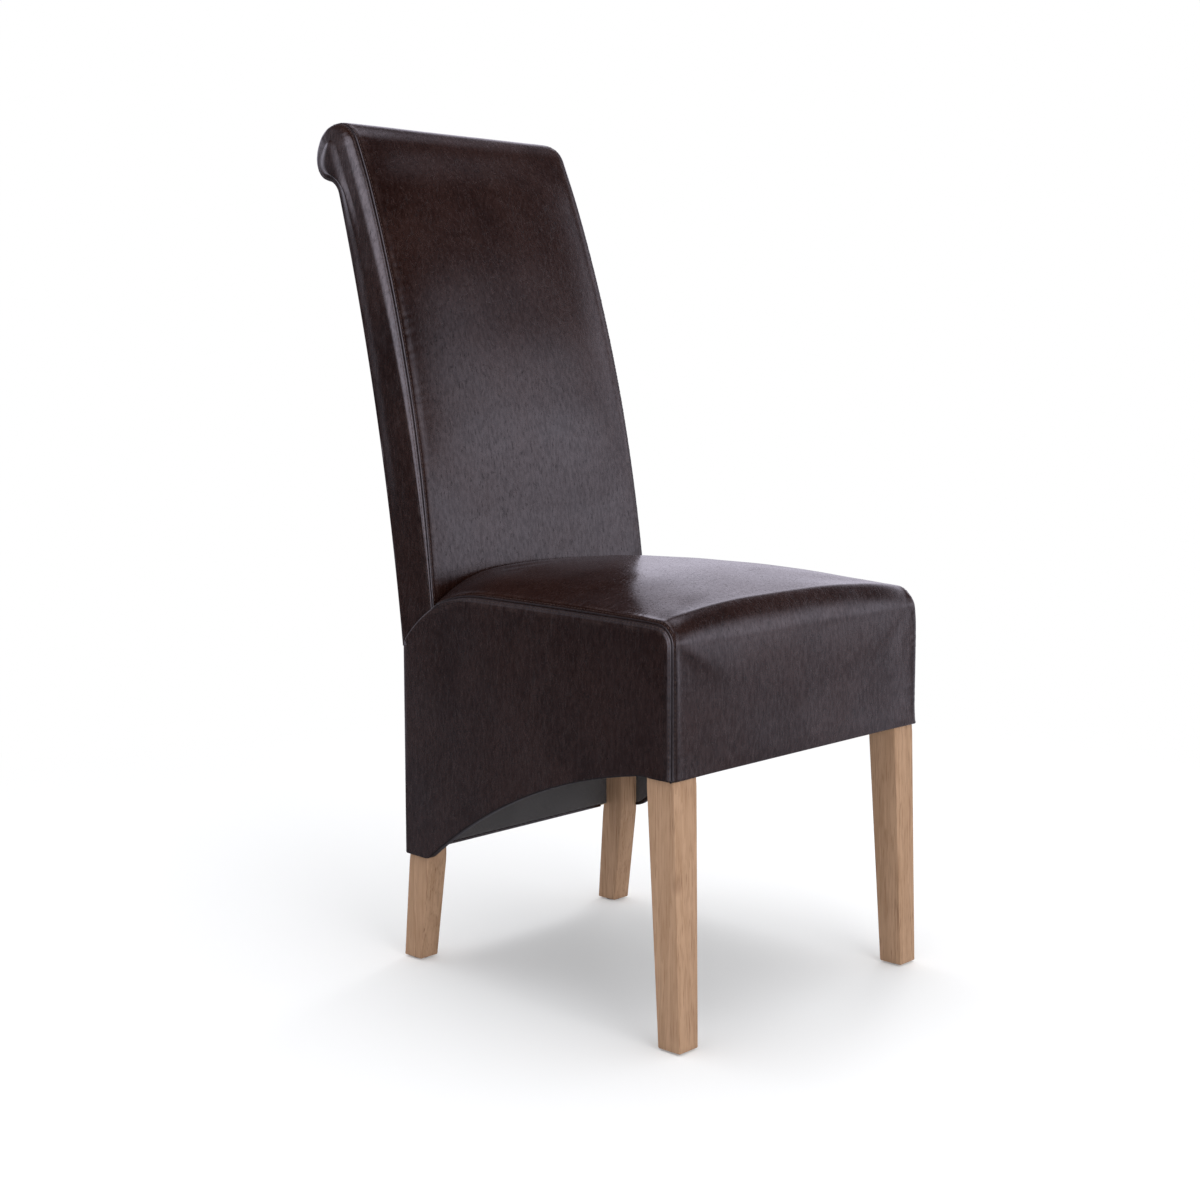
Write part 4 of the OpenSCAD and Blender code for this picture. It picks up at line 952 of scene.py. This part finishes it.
rearStrip, rearDist = backGrid(*rearLines)


def makeGusset(sign, name, node):
    skin, beyond = Skin(), backLook["beyond"]
    frontAlong = pathLength(frontStrip[:, 0])
    rearAlong = frontAlong[-1] + pathLength(rearStrip[::-1, 0])[::-1]
    frontPuff, rearPuff = (np.maximum(0, dist - dist[:, -1:] + beyond) for dist in (frontDist, rearDist))
    a = skin.patch(frontStrip, awayFrom(100, 530, 700), frontDist, frontAlong[:, None], frontPuff)
    marked = np.where(overTop[:, None], rearDist, rearDist + plainSeam)
    b = skin.patch(rearStrip, [1, 0, 0], marked, rearAlong[:, None], rearPuff)
    v = np.linspace(0, 1, 24)[None, :, None]
    width = np.linalg.norm(frontStrip[:, -1] - rearStrip[:, -1], axis=1)[:, None]
    skin.patch(frontStrip[:, -1:] * (1 - v) + rearStrip[:, -1:] * v, [1, 0, 0],
               puff=beyond + np.minimum(v[..., 0], 1 - v[..., 0]) * width)
    skin.weld()
    z, low, high = skin.points[:, 2], backLook["domeMiddle"], backLook["domeScroll"]
    middle, upper = (eased((z - start) / reach) for start, reach in backLook["domeRises"])
    dome = low * middle + (high - low) * upper
    flatness = np.clip((skin.normal[:, 0] - 0.3) / 0.6, 0, 1)
    plain = skin.away > 900
    away = np.where(plain, skin.away - plainSeam, skin.away)
    stitched = np.where(skin.away < 90, seamProfile(away, skin.along, 41 + int(sign)), 0)
    amount = dome * eased(skin.puff / 22) * flatness + stitched * np.clip(1 - skin.puff / 5, 0, 1)
    amount = amount + np.where(plain, seamProfile(away, skin.along, 51, 0.0) * 0.6, 0)
    skin.shift(amount + 0.45 * clouds(skin.points * [sign, 1, 1], 55, 14) * flatness * (skin.puff > 1))
    sew(skin, a[20:, rowColumn], sign)
    sew(skin, b[rearCount + 2:, rowColumn], sign)
    leatherPiece(name, skin, seamShadeAndWear(skin), [node], sign)


makeGusset(-1, "backGussetRight", "back_gusset_right")
makeGusset(1, "backGussetLeft", "back_gusset_left")

start = int(np.searchsorted(frontPath[:, 1], backLook["tuck"]))
lines = [np.concatenate([front[start:], rear[rearCount - 1:-1][::-1]]) for front, rear in zip(frontLines, rearLines)]
lines[1][-1] = (rearPath[rearCount - 1] - scrollC) / scrollR
grid, dist = backGrid(*lines, 44)
skin, outward = Skin(), awayFrom(0, 600, 850)
along = pathLength(np.concatenate([frontStrip[:, 0], rearStrip[rearCount - 1:-1, 0][::-1]]))[start:]
at = skin.patch(grid, outward, dist, along[:, None])
skin.weld()
waves = backLook["waves"] * clouds(skin.points, 120, 6) * np.clip(skin.away / 14, 0, 1)
puff = seamProfile(skin.away, skin.along, backLook["seed"]) + waves
puff = puff + backLook["roll"] * (1 - np.exp(-skin.away / backLook["rollWidth"]))
lift = np.zeros(len(puff))
lift[skin.back[at]] = swollen(grid, outward)
skin.shift(puff + lift)
for column in (rowColumn, grid.shape[1] - 1 - rowColumn):
    sew(skin, at[6:-3, column])
backPanel = leatherPiece("backPanel", skin, seamShadeAndWear(skin), ("back_cover_front", "back_foam", "scroll_foam"))

grid, dist = backGrid(*(v[:rearCount] for v in rearLines), 30)
skin = Skin()
skin.patch(hemGrid(grid[0], [0, -1, 0], np.full(grid.shape[1], 3.6), 2.4)[::-1], [0, 0.4, -1])
skin.patch(grid, [0, 1, 0], dist, pathLength(grid[:, 0])[:, None])
skin.weld()
waves = 0.5 * clouds(skin.points, 80, 17) * np.clip(skin.away / 14, 0, 1)
aboveLow = np.clip((skin.points[:, 2] - backLook["low"]) / backLook["lap"], 0, 1)
skin.shift((seamProfile(skin.away, skin.along, 61, 0.0) * 0.6 + waves) * aboveLow)
leatherPiece("rearPanel", skin, seamShadeAndWear(skin, 0.0), ("back_cover_rear", "back_wadding"))

r = sideLook["rearRound"]
halfSkirt = float(sideX(seatDepth - r)) - r
away = acrossColumns(halfSkirt, 30)
xs, zs = halfSkirt - away, np.linspace(rearHem + hemLook["radius"], backLook["low"] + backLook["lap"], 90)
grid = np.stack(np.broadcast_arrays(xs[None], seatDepth, zs[:, None]), -1)
skin = Skin()
skin.patch(hemGrid(grid[0], [0, -1, 0], hemReach(xs, 480))[::-1], [0, 0.4, -1])
skin.patch(grid, [0, 1, 0], np.minimum(away, away[::-1])[None], zs[:, None])
skin.weld()
calm = np.clip((skin.points[:, 2] - rearHem - 2) / 20, 0, 1) * np.clip(skin.away / 14, 0, 1)
puff = seamProfile(skin.away, skin.along, 71, 0.0) * 0.6 * np.clip(calm * 9, 0, 1)
skin.shift(puff + 0.5 * clouds(skin.points, 80, 19) * calm)
leatherPiece("rearSkirt", skin, seamShadeAndWear(skin, 0.0), ("rear_skirt_cover", "rear_skirt_wadding"))
print("back and rear skirt made")


# legs: square-sawn, tapered and splayed, their long edges eased

legLook = {"edge": 0.9, "hiddenEdge": 2.2, "footEdge": 1.6, "glide": 2.0, "width": 40.0, "foot": 32.0, "splay": 11.0,
           "outer": 233.255, "face": 3.5, "top": 411.0, "postOuter": 199.5, "postFront": 444.5, "postWidth": 32.0,
           "postDepth": 36.0, "postFoot": (29.0, 31.0), "kick": 12.0, "headRadius": 20.5, "postFace": 16.5}


def roundedRing(x0, x1, y0, y1, z, r):
    ring = []
    for cx, cy, start in ((x1 - r, y1 - r, 0), (x0 + r, y1 - r, 90), (x0 + r, y0 + r, 180), (x1 - r, y0 + r, 270)):
        for a in np.radians(start + np.linspace(0, 90, 5)):
            ring.append((cx + r * math.cos(a), cy + r * math.sin(a), z))
    return ring


# the two shapes give a leg's width, front y and rear y, for a height and for t from 0 at the foot to 1 at the hem
def frontShape(_, t):
    wide = legLook["foot"] + (legLook["width"] - legLook["foot"]) * t
    y0 = legLook["face"] - legLook["splay"] * (1 - t)
    return wide, y0, y0 + wide


def postShape(z, t):
    look = legLook
    wide = look["postFoot"][0] + (look["postWidth"] - look["postFoot"][0]) * t
    y1 = look["postFront"] + look["postDepth"] + look["kick"] * (1 - t)
    y0 = y1 - look["postFoot"][1] - (look["postDepth"] - look["postFoot"][1]) * t
    if z > look["top"]:
        y0 = max(look["postFront"], float(frontY(min(z, scrollZ), look["postFace"])))
        y1 = float(rearY(min(z, rearSplit), look["face"]))
    if z > scrollZ - look["headRadius"]:
        half = math.sqrt(max(0.5, look["headRadius"] ** 2 - (z - scrollZ) ** 2))
        y0 = min(y0, scrollC[0] - half) if z < scrollZ else scrollC[0] - half
        y1 = scrollC[0] + half
    return wide, y0, y1


def makeLeg(name, node, sign, outer, hem, shape, levels):
    rings, look = [], legLook
    low, foot = look["glide"], look["footEdge"]
    for z in np.r_[low, low + 0.5, low + foot, levels]:
        wide, y0, y1 = shape(z, min(1, (z - low) / (hem - low)))
        cut = max(0, foot - (z - low))
        cut = foot - math.sqrt(max(0, foot ** 2 - cut ** 2))
        r = min(look["edge"] if z < hem - 4 else look["hiddenEdge"], (y1 - y0) * 0.4)
        rings.append(roundedRing(outer - wide + cut, outer - cut, y0 + cut, y1 - cut, z, r))
    rings = np.array(rings) * [sign, 1, 1]
    count, around = rings.shape[:2]
    at = np.arange(count * around).reshape(count, around)
    faces = gridQuads(np.c_[at, at[:, :1]]).tolist() + [at[0].tolist()[::-1], at[-1].tolist()]
    if sign < 0:
        faces = [face[::-1] for face in faces]
    settle(meshFrom(name, rings.reshape(-1, 3), faces, legWood, 40), "leg_wood", node)


# heights of the rings above the foot
legLevels = np.r_[np.linspace(8, 300, 30), frontHem, legLook["top"]]
postLevels = np.r_[np.linspace(8, 130, 14), rearHem, np.linspace(150, 1010, 60),
                   np.linspace(1012, scrollZ + legLook["headRadius"] - 0.2, 16)]
for sign, side in ((-1, "Right"), (1, "Left")):
    makeLeg("frontLeg" + side, "front_leg_" + side.lower(), sign, legLook["outer"], frontHem, frontShape, legLevels)
    makeLeg("rearPost" + side, "rear_post_" + side.lower(), sign, legLook["postOuter"], rearHem, postShape, postLevels)
print("legs made")


# linings: thin cloth stapled under the seat and inside the skirts

liningLook = {"thick": 0.5, "sag": 3.5, "slack": 0.8, "inset": 9.5, "sideInset": 9.7, "front": 5.5, "rear": 473.0,
              "waves": 0.8, "top": 315, "rearHalf": 167, "rearLow": 143, "rearAt": 473.9}


def clothSheet(name, grid, outward, seed, material, node, sag=liningLook["slack"], holes=None):
    rows, cols = grid.shape[:2]
    quads = gridQuads(np.arange(rows * cols).reshape(rows, cols))
    points = grid.reshape(-1, 3)
    if holes:
        middle = points[quads].mean(1)
        quads = quads[~atLegs(middle[:, 0], middle[:, 1], holes)]
    v, u = np.meshgrid(np.linspace(-1, 1, rows), np.linspace(-1, 1, cols), indexing="ij")
    slack = ((1 - u ** 2) * (1 - v ** 2)).ravel()
    drop = np.maximum(0.1, sag * slack + liningLook["waves"] * clouds(points, 90, seed) * np.minimum(1, slack * 4))
    points = points + np.array(outward, float) * drop[:, None]
    used, quads = np.unique(quads, return_inverse=True)
    points, quads = points[used], quads.reshape(-1, 4)
    a, b, c = points[quads[0, :3]]
    if np.dot(np.cross(b - a, c - a), outward) < 0:
        quads = quads[:, ::-1]
    piece = wall(meshFrom(name, points, quads, material), liningLook["thick"])
    settle(piece, "lining", node)


ys = np.linspace(liningLook["front"], liningLook["rear"], 118)[:, None]
across = np.linspace(-1, 1, 111)[None]
grid = np.stack([across * (sideX(ys) - liningLook["inset"]), ys + 0 * across,
                 np.full((118, 111), chair["railUnder"] - 0.1)], -1)
clothSheet("dustSheet", grid, (0, 0, -1), 3, dustCloth, "dust_cover", liningLook["sag"],
           dustZone)

half, low, top = liningLook["rearHalf"], liningLook["rearLow"], liningLook["top"]
xs, zs = np.linspace(-half, half, 70), np.linspace(low, top, 36)
grid = np.stack(np.broadcast_arrays(xs[None], liningLook["rearAt"], zs[:, None]), -1)
clothSheet("rearLiningSheet", grid, (0, -1, 0), 4, lining, "rear_lining")

ys, hemFine = np.linspace(44.0, 444.0, 100), resample(sideHem(), step=1.0)
low = np.interp(ys, hemFine[:, 0], hemFine[:, 1]) + 3
zs = low[None] + (top - low[None]) * np.linspace(0, 1, 30)[:, None]
grid = np.stack([sideX(ys)[None] + 0 * zs - liningLook["sideInset"], ys[None] + 0 * zs, zs], -1)
for sign, side in ((-1, "Right"), (1, "Left")):
    clothSheet("sideLiningSheet" + side, grid * [sign, 1, 1], (-sign, 0, 0), 5, lining, "side_lining_" + side.lower())
print("linings made")


# stitches and staples, repeated along their lines by geometry nodes

stitchLook = {"Pitch": 5.2, "Length": 3.9, "Width": 0.8, "Height": 0.5, "Sink": 0.05, "Seed": 4}
stapleLook = {"Pitch": 34.0, "Length": 9.5, "Width": 0.9, "Height": 0.6, "Sink": 0.1, "Seed": 9}
stapleRows = {"height": 315.2, "spacing": 8.0, "inset": 13.5, "side": (50, 438), "front": (186, 10), "rear": (160, 466)}


def repeatTree(name, material):
    # a small bead at each step of a line, turned and sized a little at random
    tree = bpy.data.node_groups.new(name, "GeometryNodeTree")
    tree.interface.new_socket("Geometry", in_out="INPUT", socket_type="NodeSocketGeometry")
    for key in stitchLook:
        kind = "NodeSocketInt" if key == "Seed" else "NodeSocketFloat"
        tree.interface.new_socket(key, in_out="INPUT", socket_type=kind)
    tree.interface.new_socket("Geometry", in_out="OUTPUT", socket_type="NodeSocketGeometry")

    def add(kind, sockets=None, **settings):
        return addNode(tree, kind, settings, sockets)

    def vary(low, high):
        return add("FunctionNodeRandomValue", {0: low, 1: high, "Seed": given["Seed"]}, data_type="FLOAT_VECTOR")[0]

    given = add("NodeGroupInput")
    curve = add("GeometryNodeMeshToCurve", {"Mesh": given["Geometry"]})[0]
    curve = add("GeometryNodeResampleCurve", {"Curve": curve, "Length": given["Pitch"]}, mode="LENGTH")[0]
    up = add("GeometryNodeInputNamedAttribute", {"Name": "up"}, data_type="FLOAT_VECTOR")[0]
    turned = add("FunctionNodeAxesToRotation", {0: add("GeometryNodeInputTangent")[0], 1: up},
                 primary_axis="X", secondary_axis="Z")[0]
    turned = add("FunctionNodeRotateRotation", {0: turned, 1: vary((-0.07, -0.05, -0.12), (0.07, 0.05, 0.12))},
                 rotation_space="LOCAL")[0]
    size = add("ShaderNodeCombineXYZ", {0: given["Length"], 1: given["Width"], 2: given["Height"]})[0]
    size = add("ShaderNodeVectorMath", {0: size, 1: vary((0.88, 0.9, 0.9), (1.05, 1.1, 1.1))}, operation="MULTIPLY")[0]
    bead = add("GeometryNodeMeshUVSphere", {"Segments": 8, "Rings": 5, "Radius": 0.5})[0]
    sunk = add("ShaderNodeVectorMath", {0: up, "Scale": given["Sink"]}, operation="SCALE")[0]
    curve = add("GeometryNodeSetPosition", {"Geometry": curve, "Offset": sunk})[0]
    copies = add("GeometryNodeInstanceOnPoints", {"Points": curve, "Instance": bead, "Rotation": turned,
                                                  "Scale": size})[0]
    real = add("GeometryNodeRealizeInstances", {"Geometry": copies})[0]
    done = add("GeometryNodeSetMaterial", {"Geometry": real, "Material": material})[0]
    add("NodeGroupOutput", {0: add("GeometryNodeSetShadeSmooth", {0: done})[0]})
    return tree


def repeatAlong(name, lines, material, look, slotName):
    points, ups = (np.concatenate(v) for v in zip(*lines))
    edges, at = [], 0
    for p, _ in lines:
        edges += [(at + k, at + k + 1) for k in range(len(p) - 1)]
        at += len(p)
    mesh = bpy.data.meshes.new(name + "Lines")
    mesh.from_pydata(toWorld(points).tolist(), edges, [])
    mesh.attributes.new("up", "FLOAT_VECTOR", "POINT").data.foreach_set("vector", ups.astype(np.float32).ravel())
    path = placed(name + "Lines", mesh)
    repeat = path.modifiers.new("repeat", "NODES")
    repeat.node_group = repeatTree(name + "Nodes", material)
    for item in repeat.node_group.interface.items_tree:
        if item.in_out == "INPUT" and item.name in look:
            repeat[item.identifier] = look[item.name] if item.name == "Seed" else look[item.name] / 1000
    made = bpy.data.meshes.new_from_object(path.evaluated_get(bpy.context.evaluated_depsgraph_get()))
    bpy.data.objects.remove(path)
    bpy.data.meshes.remove(mesh)
    made.name = name
    settle(placed(name, made), slotName)


def stapleRun(x0, y0, x1, y1):
    z = stapleRows["height"]
    points = resample(np.array([(x0, y0, z), (x1, y1, z)]), step=stapleRows["spacing"])
    return points, np.tile([0.0, 0.0, -1.0], (len(points), 1))


first, last = stapleRows["side"]
front, rear = (float(sideX(y)) - stapleRows["inset"] for y in (first, last))
stapleLines = [stapleRun(s * front, first, s * rear, last) for s in (-1, 1)]
stapleLines += [stapleRun(-x, y, x, y) for x, y in (stapleRows["front"], stapleRows["rear"])]
repeatAlong("seamStitches", stitchLines, thread, stitchLook, "leather")
repeatAlong("liningStaples", stapleLines, steel, stapleLook, "steel")
print("stitches and staples made")


# floor, world and lamps

studio = {"floor": (0.90, 0.90, 0.90), "fade": (0.75, 1.7), "radius": 2.3, "sky": (0.955, 0.965, 1.0),
          "sheen": (0.89, 0.85, 1.0), "ambient": 0.68, "toward": (0.86, 0.51, 0.0), "gloss": (0.03, 1.05),
          "floorGloss": (0.16, 1.05), "above": 0.10, "left": (-0.9, 0.43, 0), "leftGloss": (0.07, 0.45)}
glows = [  # direction, where it starts and ends, how bright: what the leather's gloss shows of the studio
    ((-0.80, -0.57, 0.18), 0.54, 0.92, 3.4), ((0.63, -0.75, 0.18), 0.93, 0.996, 1.4)]
lamps = {  # place, what it points at, size, watts
    "key": ((-1.0, -3.4, 1.7), (0, 0, 0.6), (2.0, 1.4), 46),
    "overhead": ((0.1, 0.1, 3.2), (0, 0, 0.5), (3.0, 3.0), 60),
    "highRight": ((2.9, 1.0, 2.9), (0, 0, 0.7), (0.8, 1.0), 18)}


def rayWires(f):
    camera, through, glossy = (f.node("ShaderNodeLightPath", out="Is " + kind + " Ray")
                               for kind in ("Camera", "Transmission", "Glossy"))
    return f.maths("MAXIMUM", camera, through), glossy


def makeFloor():
    # white where the camera sees it far off, and seen in gloss as the background is: bright on the right, dim on the
    # left; from below it is clear
    mesh = bpy.data.meshes.new("floor")
    turns = [k * math.pi / 48 for k in range(96)]
    ring = [(studio["radius"] * math.cos(a), studio["radius"] * math.sin(a), 0) for a in turns]
    mesh.from_pydata(ring, [], [list(range(96))])
    f = Finish("paperFloor")
    away = f.vector("LENGTH", {0: f.place}, "Value")
    seen, glossy = rayWires(f)
    paper = f.node("ShaderNodeBsdfDiffuse", {}, {"Color": (*studio["floor"], 1)})
    dim, bright = ([level * value for value in studio["sheen"]] for level in studio["floorGloss"])
    sheen = f.mix(f.step(f.dot(f.place, studio["toward"]), -0.5, 1.4), dim, bright)
    mixed = f.blend(f.step(away, *studio["fade"], (0.22, 1)) * seen, paper, f.emit((1, 1, 1, 1)))
    mixed = f.blend(glossy, mixed, f.emit(sheen))
    below = f.node("ShaderNodeNewGeometry", out="Backfacing")
    mixed = f.blend(below, mixed, f.node("ShaderNodeBsdfTransparent"))
    mesh.materials.append(f.close("ShaderNodeOutputMaterial", mixed))
    placed("floor", mesh)


def makeWorld():
    # the camera sees white; gloss sees a pale backdrop on the right, a dark room on the left and a few windows
    bpy.context.scene.world = bpy.data.worlds.new("studio")
    f = Finish("studio", bpy.context.scene.world, "Generated")
    ways = (studio["toward"], (0, 0, 1), (1, 0, 0), studio["left"])
    toward, height, across, left = (f.dot(f.place, way) for way in ways)
    level = height - f.step(toward, 0.3, 0.92, (0, 0.24))
    share = f.step(toward, -0.2, 0.8, studio["gloss"]) * f.step(level, 0.14, 0.38, (1, studio["above"]))
    share = share * f.step(height, -0.02, 0.11, (0.7, 1))
    share = f.maths("MAXIMUM", share, f.step(across, 0.80, 0.95, (0, 1.05)) * f.step(height, 0.40, 0.60, (1, 0)))
    window = f.step(across, 0.3, 0.5) * f.step(across, 0.635, 0.675, (1, 0))
    share = share + window * f.step(height, 0.68, 0.84, (0, 1.3))
    for aim, low, high, strength in glows:
        share = share + f.step(f.dot(f.place, aim), low, high, (0, strength))
    share = share + f.step(left, 0.3, 0.9) * f.step(height, 0.0, 0.30, studio["leftGloss"])
    seen, glossy = rayWires(f)
    fill = studio["ambient"] * (1 + toward * 0.12) * (1 - glossy) + glossy * share
    tint = f.mix(glossy, studio["sky"], studio["sheen"])
    soft = f.node("ShaderNodeBackground", {}, {"Color": tint, "Strength": fill})
    white = f.node("ShaderNodeBackground", {}, {"Color": (1, 1, 1, 1), "Strength": 1.0})
    f.close("ShaderNodeOutputWorld", f.blend(seen, soft, white))


makeFloor()
makeWorld()
for name, (place, aim, size, watts) in lamps.items():
    lamp = bpy.data.lights.new(name, "AREA")
    lamp.shape, lamp.size, lamp.size_y, lamp.energy = "RECTANGLE", *size, watts
    box = placed(name, lamp)
    box.location, box.visible_glossy = place, False
    box.rotation_euler = (Vector(aim) - Vector(place)).to_track_quat("-Z", "Y").to_euler()
bpy.context.scene.view_settings.view_transform = "Standard"
